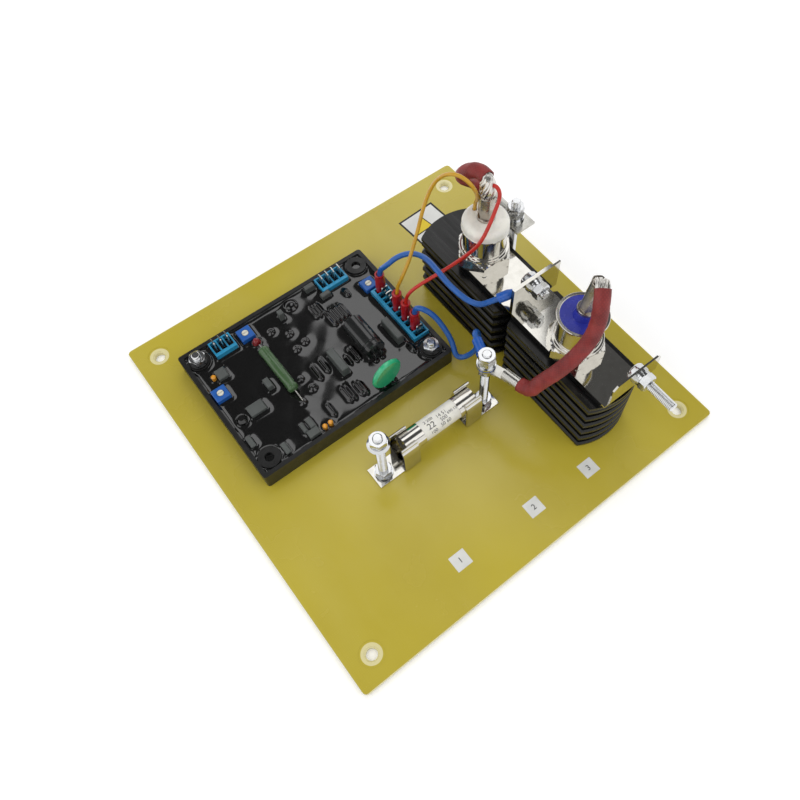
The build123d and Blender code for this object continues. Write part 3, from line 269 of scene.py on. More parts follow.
plated("tinned_brass", (0.60, 0.59, 0.55), 0.24)
plated("tinned_copper", (0.60, 0.59, 0.55), 0.2, dull=(0.42, 0.41, 0.36), wear=0.6)
plated("zinc_steel", (0.70, 0.71, 0.72), 0.15, dull=(0.62, 0.62, 0.61), wear=0.3, bump=0.004)
plated("nickel_plate", (0.66, 0.645, 0.60), 0.07, dull=(0.50, 0.48, 0.43), wear=0.5, bump=0.015)
plated("nickel_shell", (0.70, 0.68, 0.635), 0.12, dull=(0.58, 0.56, 0.52), wear=0.4, bump=0.004)
plated("stem_brown", (0.50, 0.46, 0.41), 0.26, dull=(0.22, 0.19, 0.165), wear=0.8, bump=0.03)
plated("braid", (0.78, 0.76, 0.72), 0.3, dull=(0.5, 0.48, 0.45), wear=0.3, bump=0.02)

paper = Surface("label_paper", lin(224, 224, 220), 0.45)
paper.tint(paper.noise(90, 3), lin(200, 202, 198), 0.5, 0.4, 0.7)
ink = Surface("label_ink", (0.012, 0.012, 0.012), 0.4)
amber = Surface("label_yellow", lin(226, 198, 24), 0.4)
for print_look in (ink, amber):
    print_look.rough_by(print_look.noise(300, 2), 0.35, 0.5)

slot_of = {item["node"]: item["material_slot"] for item in frame["record"]["subparts"]}
for name, obj in nodes.items():
    for place in obj.material_slots:
        place.material = surfaces[slot_of[name]].material


# Pieces and forms that several of them share

def piece(name, data, slot, smooth=True, replaces=(), look=None):
    """Adds a mesh or a curve that rides on the main body."""
    obj = bpy.data.objects.new(name, data)
    bpy.context.scene.collection.objects.link(obj)
    data.materials.append((look or surfaces[slot]).material)
    if smooth and isinstance(data, bpy.types.Mesh):
        data.polygons.foreach_set("use_smooth", [True] * len(data.polygons))
    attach(obj, MAIN)
    if replaces:
        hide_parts(*replaces)
    return obj


def middle(lo, hi):
    """Centre of a box."""
    return [(low + high) / 2 for low, high in zip(lo, hi)]


def angles(count):
    """A full turn in equal steps."""
    return [2 * math.pi * k / count for k in range(count)]


def oval(centre, side, other, half_side, half_other, count):
    """Points of an ellipse in the plane of two directions."""
    return [(centre + side * half_side * math.cos(t) + other * half_other * math.sin(t))[:]
            for t in angles(count)]


def tangents_along(points):
    """Direction of a line at each of its points."""
    last = len(points) - 1
    return [(points[min(k + 1, last)] - points[max(k - 1, 0)]).normalized() for k in range(last + 1)]


def grid_mesh(name, rows, close=False):
    """Quads between rows of points of equal length."""
    n = len(rows[0])
    verts = [p for row in rows for p in row]
    faces = []
    for i in range(len(rows) - 1):
        for j in range(n if close else n - 1):
            k = (j + 1) % n
            faces.append((i * n + j, i * n + k, (i + 1) * n + k, (i + 1) * n + j))
    mesh = bpy.data.meshes.new(name)
    mesh.from_pydata(verts, [], faces)
    mesh.update()
    return mesh


def solid_about(name, rows, origin, axis, start, seg):
    """Closed solid about an axis from rows of a station and its radius at each angle."""
    origin = Vector(origin)
    axis = Vector(axis).normalized()
    start = Vector(start)
    side = (start - axis * start.dot(axis)).normalized()
    other = axis.cross(side)
    rings = []
    for station, radius in rows:
        centre = origin + axis * station
        rings.append([(centre + (side * math.cos(t) + other * math.sin(t)) * radius(t))[:]
                      for t in angles(seg)])
    first, last = [[(origin + axis * rows[end][0])[:]] * seg for end in (0, -1)]
    mesh = grid_mesh(name, [first, *rings, last], close=True)
    bm = bmesh.new()
    bm.from_mesh(mesh)
    bmesh.ops.remove_doubles(bm, verts=bm.verts, dist=1e-7)
    bmesh.ops.recalc_face_normals(bm, faces=bm.faces)
    bm.to_mesh(mesh)
    bm.free()
    return mesh


def even(radius):
    """The same radius at every angle."""
    return lambda t: radius


def soften(obj, angle):
    """Edges sharper than the angle stay sharp while curved flanks shade smoothly."""
    mesh = obj.data
    bm = bmesh.new()
    bm.from_mesh(mesh)
    limit = math.radians(angle)
    for e in bm.edges:
        if len(e.link_faces) == 2 and e.link_faces[0].normal.angle(e.link_faces[1].normal, 0.0) > limit:
            e.smooth = False
    bm.to_mesh(mesh)
    bm.free()


def joined(name, meshes, slot, replaces=(), angle=38.0):
    """One piece from several meshes."""
    bm = bmesh.new()
    for mesh in meshes:
        bm.from_mesh(mesh)
    whole = bpy.data.meshes.new(name)
    bm.to_mesh(whole)
    bm.free()
    soften(piece(name, whole, slot, replaces=replaces), angle)


def loose_parts(node):
    """Lowest and highest corners of every separate solid of a node."""
    bm = bmesh.new()
    bm.from_mesh(nodes[node].data)
    bmesh.ops.remove_doubles(bm, verts=bm.verts, dist=1e-6)
    seen = set()
    boxes = []
    for start in bm.verts:
        if start in seen:
            continue
        stack = [start]
        found = []
        seen.add(start)
        while stack:
            v = stack.pop()
            found.append(v.co[:])
            for e in v.link_edges:
                w = e.other_vert(v)
                if w not in seen:
                    seen.add(w)
                    stack.append(w)
        corners = np.array(found)
        boxes.append((corners.min(0), corners.max(0)))
    bm.free()
    return boxes


# Resin that fills the module's tray, with a raised edge where it wets each part

POST_LEFT, POST_RIGHT = -105.8 * MM, 20.8 * MM
POST_BACK, POST_FRONT = 94.5 * MM, 7.4 * MM
POST_RADIUS = 7.25 * MM
HIGHEST = 3.2 * MM
# step of the grid, lap of the resin onto a part, and its coat over a buried part
STEP = 0.5 * MM
SKIN = 0.3 * MM
COAT = 0.5 * MM

resin_lo, resin_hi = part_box("module_potting")
GRID_X, GRID_Y = np.meshgrid(np.arange(resin_lo.x, resin_hi.x + STEP / 2, STEP),
                             np.arange(resin_lo.y, resin_hi.y + STEP / 2, STEP))


def slow_waves(rng):
    """Faint unevenness of the poured resin."""
    height = np.zeros_like(GRID_X)
    for _ in range(14):
        angle = rng.uniform(0, 2 * math.pi)
        length = rng.uniform(14, 45) * MM
        phase = rng.uniform(0, 2 * math.pi)
        along = GRID_X * math.cos(angle) + GRID_Y * math.sin(angle)
        height += np.sin(along * 2 * math.pi / length + phase)
    return height * 0.018 * MM


def from_disc(x, y, radius):
    """Distance from a disc's edge, seen from above and negative inside it."""
    return np.hypot(GRID_X - x, GRID_Y - y) - radius


def from_box(lo, hi, corner):
    """Distance from the outline of a box with rounded corners, negative inside it."""
    x, y = middle(lo[:2], hi[:2])
    qx = np.abs(GRID_X - x) - ((hi[0] - lo[0]) / 2 - corner)
    qy = np.abs(GRID_Y - y) - ((hi[1] - lo[1]) / 2 - corner)
    outside = np.hypot(np.maximum(qx, 0), np.maximum(qy, 0))
    return outside + np.minimum(np.maximum(qx, qy), 0) - corner


def fall(distance, height, reach):
    """A height that falls off with the distance."""
    return height * np.exp(-np.maximum(distance, 0) / reach)


def wet(distance, climb, reach):
    """Edge of resin that climbs a flank."""
    return np.where(distance > -SKIN, fall(distance, climb, reach), -0.4 * MM)


def against(lift, distance, climb=1.15 * MM, reach=1.15 * MM):
    """Lift with the climbing edge round one part added, and a dip under the part itself."""
    return np.where(distance < -SKIN, -0.5 * MM, np.maximum(lift, wet(distance, climb, reach)))


def module_lift():
    """Lift at the tray's wall, at its posts and round the parts that stand upright."""
    edge = np.minimum(np.minimum(GRID_X - resin_lo.x, resin_hi.x - GRID_X),
                      np.minimum(GRID_Y - resin_lo.y, resin_hi.y - GRID_Y))
    lift = 1.5 * MM * np.exp(-edge / (1.1 * MM))
    for y in (POST_BACK, POST_FRONT):
        for x in (POST_LEFT, POST_RIGHT):
            lift = against(lift, from_disc(x, y, POST_RADIUS), climb=1.5 * MM, reach=1.2 * MM)
    for node in ("film_capacitors", "trimmer_bodies"):
        for lo, hi in loose_parts(node):
            lift = against(lift, from_box(lo, hi, 0.5 * MM))
    for node in ("tantalum_capacitors", "transistor", "indicator_lamp"):
        for lo, hi in loose_parts(node):
            x, y, _ = middle(lo, hi)
            lift = against(lift, from_disc(x, y, (hi[0] - lo[0]) / 2))
    for node in ("plug_strip_ten_way", "plug_strip_four_way", "plug_strip_three_way"):
        lo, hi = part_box(node)
        distance = from_box(lo, hi, 0.4 * MM)
        strip = np.where(distance > -0.5 * MM, wet(distance, 1.3 * MM, 1.2 * MM), 0.6 * MM)
        lift = np.maximum(lift, strip)
    return lift


def can_lift(lift):
    """The can lies sunk in the resin, which climbs its flanks and its two leads."""
    length = 28.5 * MM
    half = 4.8 * MM
    lo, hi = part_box("electrolytic_capacitor")
    x = (lo.x + hi.x) / 2
    front = hi.y - length
    can = from_box((x - half, front), (x + half, hi.y), 1.5 * MM)
    lift = against(lift, can, climb=1.6 * MM, reach=1.9 * MM)
    for side in (-2.5 * MM, 2.5 * MM):
        lead = from_disc(x + side, front - 3.0 * MM, 0.5 * MM)
        lift = against(lift, lead, climb=1.4 * MM, reach=0.9 * MM)
    return lift


def foot_lift(lift):
    """Feet of the power resistor and of the varistor."""
    lo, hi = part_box("power_resistor")
    for y in (lo.y + 0.5 * MM, hi.y - 0.5 * MM):
        foot = from_disc((lo.x + hi.x) / 2, y, 0.5 * MM)
        lift = against(lift, foot, climb=2.2 * MM, reach=1.5 * MM)
    lo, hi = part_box("varistor")
    x, y, _ = middle(lo, hi)
    for side in (-3.7 * MM, 3.7 * MM):
        foot = from_disc(x + side, y - side * 0.12, 0.9 * MM)
        lift = against(lift, foot, climb=1.6 * MM, reach=1.2 * MM)
    return lift


def coated_disc(lo, hi, rise):
    """Round part under the resin, with a soft skirt."""
    x, y, _ = middle(lo, hi)
    radius = (hi[0] - lo[0]) / 2
    distance = np.hypot(GRID_X - x, GRID_Y - y)
    dome = (rise + COAT) * np.sqrt(np.clip(1 - (distance / (radius * 1.05)) ** 2, 0, 1))
    return np.maximum(dome, fall(distance - radius, 0.7 * MM, 1.3 * MM))


def coated_rods(lo, hi, rise, rng):
    """Row of small axial parts under the resin, with their thin leads."""
    x, y, _ = middle(lo, hi)
    wide = hi[0] - lo[0]
    deep = hi[1] - lo[1]
    if deep >= wide:
        across, along = GRID_X - x, GRID_Y - y
    else:
        across, along = GRID_Y - y, GRID_X - x
    row_length = max(wide, deep) / 2
    count = max(1, int(round(min(wide, deep) / (3.0 * MM))))
    pitch = min(wide, deep) / count
    radius = min(pitch * 0.46, 1.5 * MM)
    lead_radius = 0.75 * MM
    rods = []
    for k in range(count):
        beside = across - (k - (count - 1) / 2) * pitch
        ahead = np.abs(along - rng.uniform(-0.8, 0.8) * MM)
        distance = np.hypot(beside, np.maximum(ahead - (row_length - radius - 0.6 * MM), 0))
        body = (rise + COAT) * np.sqrt(np.clip(1 - (distance / radius) ** 2, 0, 1)) ** 0.8
        from_lead = np.hypot(beside, np.maximum(ahead - row_length - 0.6 * MM, 0))
        lead = lead_radius * np.clip(1 - (from_lead / lead_radius) ** 2, 0, 1)
        rods.append(np.maximum(np.maximum(body, lead), fall(distance - radius, 0.45 * MM, 0.8 * MM)))
    return rods


def smoothed(lift):
    """Lift with its steps rounded off by two passes both ways."""
    kernel = np.array([1, 2, 1]) / 4.0
    for _ in range(2):
        for way in (0, 1):
            lift = np.apply_along_axis(
                lambda line: np.convolve(np.pad(line, 1, "edge"), kernel, "valid"), way, lift)
    return lift


def resin():
    rng = np.random.default_rng(7)
    height = resin_hi.z + slow_waves(rng)
    lift = foot_lift(can_lift(module_lift()))
    for lo, hi in loose_parts("potted_components"):
        wide = hi[0] - lo[0]
        rise = hi[2] - resin_hi.z
        if abs(wide - (hi[1] - lo[1])) < 0.1 * MM and wide < 9 * MM:
            coats = [coated_disc(lo, hi, rise)]
        else:
            coats = coated_rods(lo, hi, rise, rng)
        for coat in coats:
            lift = np.where(lift < -0.1 * MM, lift, np.maximum(lift, coat))
    height = np.minimum(height + smoothed(lift), resin_hi.z + HIGHEST)
    top = np.dstack((GRID_X, GRID_Y, height)).tolist()
    piece("resin_surface", grid_mesh("resin", top), "potting",
          replaces=("module_potting", "potted_components"))
    # the sides that close the resin down to the tray's floor
    ring = top[0] + [row[-1] for row in top[1:]] + top[-1][-2::-1] + [row[0] for row in top[-2:0:-1]]
    low = [(x, y, resin_lo.z) for x, y, _ in ring]
    piece("resin_sides", grid_mesh("resin_sides", [ring, low], close=True), "potting", smooth=False)


resin()


# Studs, screws and their threads

THREAD_PITCH = 1.0 * MM
THREAD_DEPTH = 0.36 * MM
BOLT_RADIUS = 3.0 * MM
STEPS_PER_TURN = 6


def turned(name, profile, origin, axis, thread=(), seg=28):
    """Turned solid about an axis, with a screw thread where two stations for it are given."""
    def radius_at(station, radius):
        if not thread or not thread[0] <= station <= thread[1]:
            return even(radius)
        from_ends = min(station - thread[0], thread[1] - station)
        depth = THREAD_DEPTH * min(1.0, from_ends / THREAD_PITCH)

        def threaded(t):
            phase = (station / THREAD_PITCH - t / (2 * math.pi)) % 1.0
            return radius - depth * abs(2 * phase - 1)
        return threaded

    rows = [(station, radius_at(station, radius)) for station, radius in profile]
    return solid_about(name, rows, origin, axis, Vector(axis).orthogonal(), seg)


def thread_profile(start, stop):
    """Stations close enough together to show a thread."""
    count = max(2, int(round((stop - start) / THREAD_PITCH * STEPS_PER_TURN)))
    return [(start + (stop - start) * k / count, BOLT_RADIUS) for k in range(count + 1)]


def stud(x, y, height):
    """Countersunk stud, threaded from the board up."""
    end = TOP + height
    head = [(0.0, 6.0 * MM), (3.0 * MM, BOLT_RADIUS)]
    body = thread_profile(3.4 * MM, end - 0.7 * MM)
    tip = [(end, BOLT_RADIUS - 0.7 * MM)]
    return turned("stud", head + body + tip, (x, y, 0.0), (0, 0, 1), (4.2 * MM, end - 0.3 * MM))


def stud_threads(name, node, *places):
    joined(name, [stud(x, y, height) for x, y, height in places], "zinc_steel", replaces=(node,))


stud_threads("fuse_stud_threads", "fuse_studs",
             (-54 * MM, -40 * MM, 54 * MM), (27 * MM, -40 * MM, 63 * MM))
stud_threads("rear_stud_thread", "rear_stud", (103 * MM, 24 * MM, 86 * MM))
stud_threads("module_screw_threads", "module_screws",
             (POST_LEFT, POST_BACK, 22.2 * MM), (POST_RIGHT, POST_FRONT, 22.2 * MM))


# Power resistor: a coated body with thicker ends, and its two tinned leads

RESISTOR_LENGTH = 39.5
RESISTOR_PROFILE = [(0.0, 1.6), (0.25, 2.6), (0.9, 3.4), (1.6, 3.75), (3.2, 3.75), (3.6, 3.55),
                    (19.7, 3.6), (35.9, 3.55), (36.3, 3.75), (37.9, 3.75), (38.6, 3.4), (39.25, 2.6),
                    (RESISTOR_LENGTH, 1.6)]

resistor_lo, resistor_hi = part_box("power_resistor")
resistor_x = (resistor_lo.x + resistor_hi.x) / 2
resistor_y = resistor_lo.y + 9.45 * MM
resistor_z = resistor_hi.z - 2.85 * MM


def resistor_lead(start_y, way, reach):
    """Lead that runs straight out of an end of the body and turns down into the resin."""
    inside = 0.8 * MM
    bend = 1.2 * MM
    drop = 4.6 * MM
    radius = 0.45 * MM
    side = Vector((1, 0, 0))

    def point(out, down):
        return Vector((resistor_x, start_y + way * out, resistor_z - down))

    points = [point(-inside, 0.0), point(reach - bend, 0.0)]
    for k in range(1, 9):
        q = math.radians(90 * k / 8)
        points.append(point(reach - bend + bend * math.sin(q), bend * (1 - math.cos(q))))
    points.append(point(reach, drop))
    rows = [oval(centre, side, tangent.cross(side), radius, radius, 12)
            for centre, tangent in zip(points, tangents_along(points))]
    return grid_mesh("lead", rows, close=True)


coated = turned("body", [(station * MM, radius * MM) for station, radius in RESISTOR_PROFILE],
                (resistor_x, resistor_y, resistor_z), (0, 1, 0), seg=48)
joined("power_resistor_body", [coated], "resistor_green", replaces=("power_resistor",))
front_lead = resistor_lead(resistor_y, -1, 9.0 * MM)
rear_lead = resistor_lead(resistor_y + RESISTOR_LENGTH * MM, 1, 4.0 * MM)
joined("power_resistor_leads", [front_lead, rear_lead], "tinned_copper")


# Bolts through the plates

def flank(across_flats, limit):
    """Radius of a hexagon at each angle, its corners turned down to a limit."""
    def radius_at(t):
        from_corner = (t + math.pi / 6) % (math.pi / 3) - math.pi / 6
        return min(across_flats / 2 / math.cos(math.pi / 6 - abs(from_corner)), limit)
    return radius_at


def plate_bolt(node, covered):
    """Hexagon head with bevelled corners, and a rod with a thread beyond the covered part."""
    across_flats = 10.0 * MM
    head = 4.0 * MM
    neck = 2.5 * MM
    lo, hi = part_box(node)
    x, _, z = middle(lo, hi)
    place = (x, hi.y, z)
    way = (0, -1, 0)
    limits = [(0.0, 4.75 * MM), (0.45 * MM, 5.25 * MM), (0.95 * MM, 5.8 * MM), (head, 5.8 * MM)]
    rows = [(station, flank(across_flats, limit)) for station, limit in limits]
    cap = solid_about(node + "_head", rows, place, way, (0, 0, 1), 48)
    end = hi.y - lo.y
    free = head + covered
    threaded = thread_profile(free + 0.01 * MM, end - 0.6 * MM)
    body = [(head, neck), (free, neck), *threaded, (end, 2.4 * MM)]
    rod = turned(node + "_rod", body, place, way, (free, end - 0.3 * MM))
    joined(node + "_thread", [cap, rod], "zinc_steel", replaces=(node,))


plate_bolt("joint_bolt", 11.6 * MM)
plate_bolt("output_bolt", 9.6 * MM)


# Cells, with their crimped stems and braids

FLATS = 6
RING_RADIUS = 5.75 * MM
RING_HEIGHT = 2.2 * MM
BEVEL = 0.3 * MM


def crimped(node, foot, top, radius, ring_at, turn):
    """Tube pressed into facets over its length, open at the top, with a ring round it."""
    axis = top - foot
    length = axis.length
    start = (1, 0, 0)
    step = 2 * math.pi / FLATS

    def tube(share, inner=0.0):
        def radius_at(t):
            local = (t - turn) % step - step / 2
            flat = math.cos(step / 2) / math.cos(local)
            return (radius - inner) * (1 - share * (1 - flat * 1.02))
        return radius_at

    rows = [(0.0, tube(0.0)), (length * 0.16, tube(0.0)), (length * 0.24, tube(1.0)),
            (length * 0.62, tube(0.9)), (length * 0.66, tube(0.55)), (length * 0.70, tube(1.0)),
            (length * 0.94, tube(1.0)), (length - 0.25 * MM, tube(0.6)), (length, tube(0.6, 0.35 * MM)),
            (length, tube(0.6, 1.1 * MM)), (length - 1.2 * MM, tube(0.6, 1.2 * MM))]
    ring_end = ring_at + RING_HEIGHT
    ring = [(ring_at, even(RING_RADIUS - BEVEL)), (ring_at + BEVEL, even(RING_RADIUS)),
            (ring_end - BEVEL, even(RING_RADIUS)), (ring_end, even(RING_RADIUS - BEVEL))]
    meshes = [solid_about(node + "_solid", profile, foot, axis, start, 64) for profile in (rows, ring)]
    joined(node + "_crimped", meshes, "stem_brown", replaces=(node,), angle=22.0)


def cell(node, shell, mouth=None):
    """Stud, bevelled hexagon, flange and shell of a cell, in millimetres; a mouth is open for the seal."""
    across_flats = 32.0
    hexagon = 10.0
    rim = 1.6
    rim_radius = 15.5 if mouth else 15.0
    corner = math.radians(51.2)
    edge = hexagon + shell
    top = edge + rim
    shank = [(-30.0, 5.4), (-29.4, 6.0), (-0.01, 6.0)]
    six_sided = [(0.0, 17.6), (0.6, 18.6), (0.66, 18.6), (7.54, 18.6), (7.6, 18.6), (8.5, 17.9),
                 (9.3, 17.1), (hexagon, 16.1)]
    rounded = [(10.01, 15.5), (10.3, 15.8), (11.5, 15.8), (11.8, 15.5), (11.81, 14.4), (12.2, 14.0),
               (edge, 14.0), (edge + 0.01, rim_radius - 0.3), (edge + 0.3, rim_radius),
               (top - 0.3, rim_radius), (top, rim_radius - 0.3)]
    if mouth:
        rounded += [(top, mouth + 0.3), (top - 0.3, mouth), (top - 0.9, mouth)]
    rows = [(station * MM, even(radius * MM)) for station, radius in shank]
    rows += [(station * MM, flank(across_flats * MM, limit * MM)) for station, limit in six_sided]
    rows += [(station * MM, even(radius * MM)) for station, radius in rounded]
    lo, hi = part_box(node)
    x, y, _ = middle(lo, hi)
    start = (math.cos(corner), math.sin(corner), 0)
    mesh = solid_about(node, rows, (x, y, hi.z - top * MM), (0, 0, 1), start, 96)
    joined(node + "_turned", [mesh], "nickel_shell", replaces=(node,), angle=16.0)


def strands(node, stations, count, thickness, turns, seed):
    """Bundle of wires laid round a core: stations give centre, two directions and two half widths."""
    around = 24
    rng = np.random.default_rng(seed)
    core = [oval(c, u, v, a - thickness, b - thickness, around) for c, u, v, a, b in stations]
    first, last = [[stations[end][0][:]] * around for end in (0, -1)]
    meshes = [grid_mesh("core", [first, *core, last], close=True)]
    centres = [station[0] for station in stations]
    for i in range(count):
        lift = rng.uniform(-0.25, 0.1) * thickness
        sway = rng.uniform(0, 6.28)
        reach = thickness * 0.5 - lift
        path = []
        for k, (c, u, v, a, b) in enumerate(stations):
            share = k / (len(stations) - 1)
            t = 2 * math.pi * (i / count + turns * share) + 0.10 * math.sin(sway + 5.0 * share)
            path.append(c + u * (a - reach) * math.cos(t) + v * (b - reach) * math.sin(t))
        rows = []
        for point, centre, tangent in zip(path, centres, tangents_along(path)):
            out = point - centre
            out = (out - tangent * out.dot(tangent)).normalized()
            rows.append(oval(point, out, tangent.cross(out), thickness * 0.45, thickness * 0.55, 6))
        meshes.append(grid_mesh("strand", rows, close=True))
    joined(node + "_strands", meshes, "braid", replaces=(node,))


cell("thyristor_base", shell=17.4)
cell("diode_base", shell=21.4, mouth=13.5)

stem_lo, stem_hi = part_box("thyristor_stem")
cell_x, cell_y, _ = middle(stem_lo, stem_hi)
crimped("thyristor_stem", Vector((cell_x, cell_y, stem_lo.z)), Vector((cell_x, cell_y, stem_hi.z)),
        radius=5.15 * MM, ring_at=7.6 * MM, turn=0.1)

lean_foot = Vector((74.5, -66.0, 93.5)) * MM
lean_top = Vector((77.5, -68.4, 126.0)) * MM
lean_axis = (lean_top - lean_foot).normalized()
crimped("diode_stem", lean_foot - lean_axis * 0.45 * MM, lean_top,
        radius=4.8 * MM, ring_at=6.45 * MM, turn=0.5)


def thyristor_braid():
    """Braid that bulges over the stem and bends over at its top, where it enters its sleeve."""
    lo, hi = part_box("thyristor_braid")
    stations = []
    for k in range(25):
        q = k / 24
        half = 4.2 * MM * (1 - q) + 3.4 * MM * q + 1.35 * MM * math.sin(math.pi * q)
        stations.append((Vector((cell_x, cell_y, lo.z + (hi.z - lo.z) * q)), half))
    for k in range(1, 7):
        q = math.radians(15 * k)
        shift = Vector((1.0, 1.8, 1.7)) * MM * math.sin(q)
        stations.append((Vector((cell_x, cell_y, hi.z)) + shift, 3.5 * MM * math.cos(q * 0.92)))
    ways = (Vector((1, 0, 0)), Vector((0, 1, 0)))
    stations = [(centre, *ways, half, half) for centre, half in stations]
    strands("thyristor_braid", stations, count=17, thickness=1.5 * MM, turns=0.22, seed=11)


def diode_braid():
    """Flat braid turned over beside the leaning stem."""
    fold_angle = math.radians(118.0)
    fold_radius = 4.2 * MM
    half_thick = 1.8 * MM
    half_wide = 4.2 * MM
    turn_way = Vector((-0.624, -0.781, 0.0))
    turn_way = (turn_way - lean_axis * turn_way.dot(lean_axis)).normalized()
    edge_way = lean_axis.cross(turn_way)
    stations = []
    for k in range(19):
        q = fold_angle * k / 18
        aside = (1 - math.cos(q)) * fold_radius
        centre = lean_top + turn_way * aside + lean_axis * (math.sin(q) * fold_radius)
        across_fold = turn_way * math.cos(q) - lean_axis * math.sin(q)
        stations.append((centre, across_fold, edge_way, half_thick, half_wide))
    ahead = turn_way * math.sin(fold_angle) + lean_axis * math.cos(fold_angle)
    stations.append((centre + ahead * MM, across_fold, edge_way, half_thick, half_wide))
    strands("diode_braid", stations, count=18, thickness=1.05 * MM, turns=0.14, seed=12)


thyristor_braid()
diode_braid()


# Labels: plain numbers and blank fields

PANEL = 0.06 * MM
STICKER_WIDTH = 11.0
STICKER_HEIGHT = 10.4
STICKERS = [(-51.2, -113.6), (5.2, -115.9), (49.5, -117.8)]


def flat_panel(name, corners, layer, look):
    """Thin printed panel that lies on the board, or on the panels below its layer."""
    height = TOP + layer * PANEL
    low = [(x * MM, y * MM, height) for x, y in corners]
    high = [(x, y, z + PANEL) for x, y, z in low]
    n = len(corners)
    faces = [tuple(range(n, 2 * n))] + [(k, (k + 1) % n, n + (k + 1) % n, n + k) for k in range(n)]
    mesh = bpy.data.meshes.new(name)
    mesh.from_pydata(low + high, [], faces)
    piece(name, mesh, "rotor_white", smooth=False, look=look)


def figure_mesh(text, size):
    font = bpy.data.curves.new("figure", "FONT")
    font.body = text
    font.size = size
    font.align_x = "CENTER"
    font.align_y = "CENTER"
    temp = bpy.data.objects.new("figure", font)
    bpy.context.scene.collection.objects.link(temp)
    bpy.context.view_layer.update()
    mesh = bpy.data.meshes.new_from_object(temp)
    bpy.data.objects.remove(temp)
    return mesh


def figure(text, x, y, size):
    """A figure printed on a sticker."""
    mesh = figure_mesh(text, size * MM)
    for v in mesh.vertices:
        v.co = Vector((x * MM + v.co.x, y * MM + v.co.y, TOP + PANEL + 0.02 * MM))
    piece("figure_" + text, mesh, "black_fibre", smooth=False, look=ink)


for number, (x, y) in enumerate(STICKERS, 1):
    left, right = x - STICKER_WIDTH / 2, x + STICKER_WIDTH / 2
    front, rear = y - STICKER_HEIGHT / 2, y + STICKER_HEIGHT / 2
    corners = [(left, front), (right, front), (right, rear), (left, rear)]
    flat_panel(f"sticker_{number}", corners, 0, paper)
    figure(str(number), x, y, 5.2)
flat_panel("sign_border", [(75.6, 84.0), (107.6, 85.6), (105.6, 117.6), (73.6, 116.0)], 0, ink)
flat_panel("sign_white", [(77.0, 85.4), (106.0, 86.9), (104.1, 116.0), (75.1, 114.6)], 1, paper)
flat_panel("sign_edge", [(76.2, 97.4), (93.2, 98.2), (90.9, 111.8)], 2, ink)
flat_panel("sign_yellow", [(78.2, 98.3), (92.2, 99.0), (90.4, 109.8)], 3, amber)


def fuse_print(text, x, turn, size):
    """A figure wrapped round the fuse's body."""
    lo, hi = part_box("fuse_body")
    radius = (hi.z - lo.z) / 2 + 0.03 * MM
    _, axis_y, axis_z = middle(lo, hi)
    mesh = figure_mesh(text, size * MM)
    bm = bmesh.new()
    bm.from_mesh(mesh)
    bmesh.ops.subdivide_edges(bm, edges=bm.edges, cuts=2)
    bm.to_mesh(mesh)
    bm.free()
    for v in mesh.vertices:
        a = math.radians(turn) + v.co.y / radius
        v.co = Vector((x * MM + v.co.x, axis_y - math.cos(a) * radius, axis_z + math.sin(a) * radius))
    piece("fuse_figure_" + text.replace(" ", "_"), mesh, "black_fibre", smooth=False, look=ink)


fuse_print("22", x=-17.5, turn=66, size=5.6)
fuse_print("14 51", x=-8.2, turn=88, size=3.4)
fuse_print("500", x=-8.2, turn=62, size=3.4)
fuse_print("50 60", x=-8.2, turn=36, size=3.4)
fuse_print("100", x=-17.5, turn=28, size=3.4)
fuse_print("2 200", x=-17.5, turn=100, size=3.0)
fuse_print("690 120", x=-0.4, turn=72, size=2.6)


# Leads, with routes in millimetres

BLUE_1 = [(21.9, 65.25, 30.5), (21.9, 65.25, 41.5), (25.0, 59.5, 50.5), (31.5, 56.5, 57.5),
          (38.5, 49.5, 63.5), (41.0, 37.5, 68.5), (39.0, 24.0, 72.0), (37.3, 11.0, 73.2),
          (38.2, 0.0, 72.4), (41.0, -7.0, 70.0), (45.6, -10.9, 67.0), (52.22, -12.12, 65.48),
          (56.9, -14.8, 68.1)]
BLUE_2 = [(21.9, 26.05, 30.5), (21.9, 26.05, 41.1), (23.2, 22.4, 46.0), (26.4, 17.2, 45.0),
          (29.2, 12.6, 40.6), (31.0, 7.4, 34.4), (32.0, 2.2, 28.4), (31.8, -2.4, 22.6),
          (30.0, -7.2, 17.4), (32.4, -11.0, 17.0), (36.4, -14.0, 21.0), (38.6, -16.6, 27.4),
          (39.8, -18.0, 35.0), (39.8, -18.2, 43.0), (38.8, -18.2, 50.0), (36.8, -18.4, 55.0),
          (33.83, -20.63, 56.98), (32.5, -24.4, 56.98)]
YELLOW = [(21.9, 45.65, 30.5), (21.9, 45.65, 41.5), (25.5, 43.5, 53.0), (33.0, 44.0, 66.0),
          (41.0, 46.0, 83.0), (48.0, 47.5, 102.0), (53.0, 46.0, 116.5), (55.6, 42.5, 125.0),
          (57.0, 36.4, 132.8), (59.2, 29.6, 136.4), (62.2, 24.6, 134.0), (65.4, 22.4, 127.8),
          (68.8, 23.0, 119.8), (71.6, 25.4, 112.0), (73.0, 29.3, 104.0), (73.0, 29.3, 94.6)]
RED = [(21.9, 35.85, 30.5), (21.9, 35.85, 40.5), (25.0, 34.5, 48.5), (33.0, 30.5, 56.0),
       (43.0, 26.0, 62.5), (52.0, 21.5, 70.0), (57.5, 15.5, 81.0), (60.0, 8.6, 95.0),
       (65.6, 7.9, 106.8), (71.8, 9.8, 115.6), (75.2, 10.6, 122.0), (75.6, 11.4, 126.8),
       (75.5, 13.6, 128.9), (75.2, 16.2, 128.4), (75.0, 19.1, 126.3)]
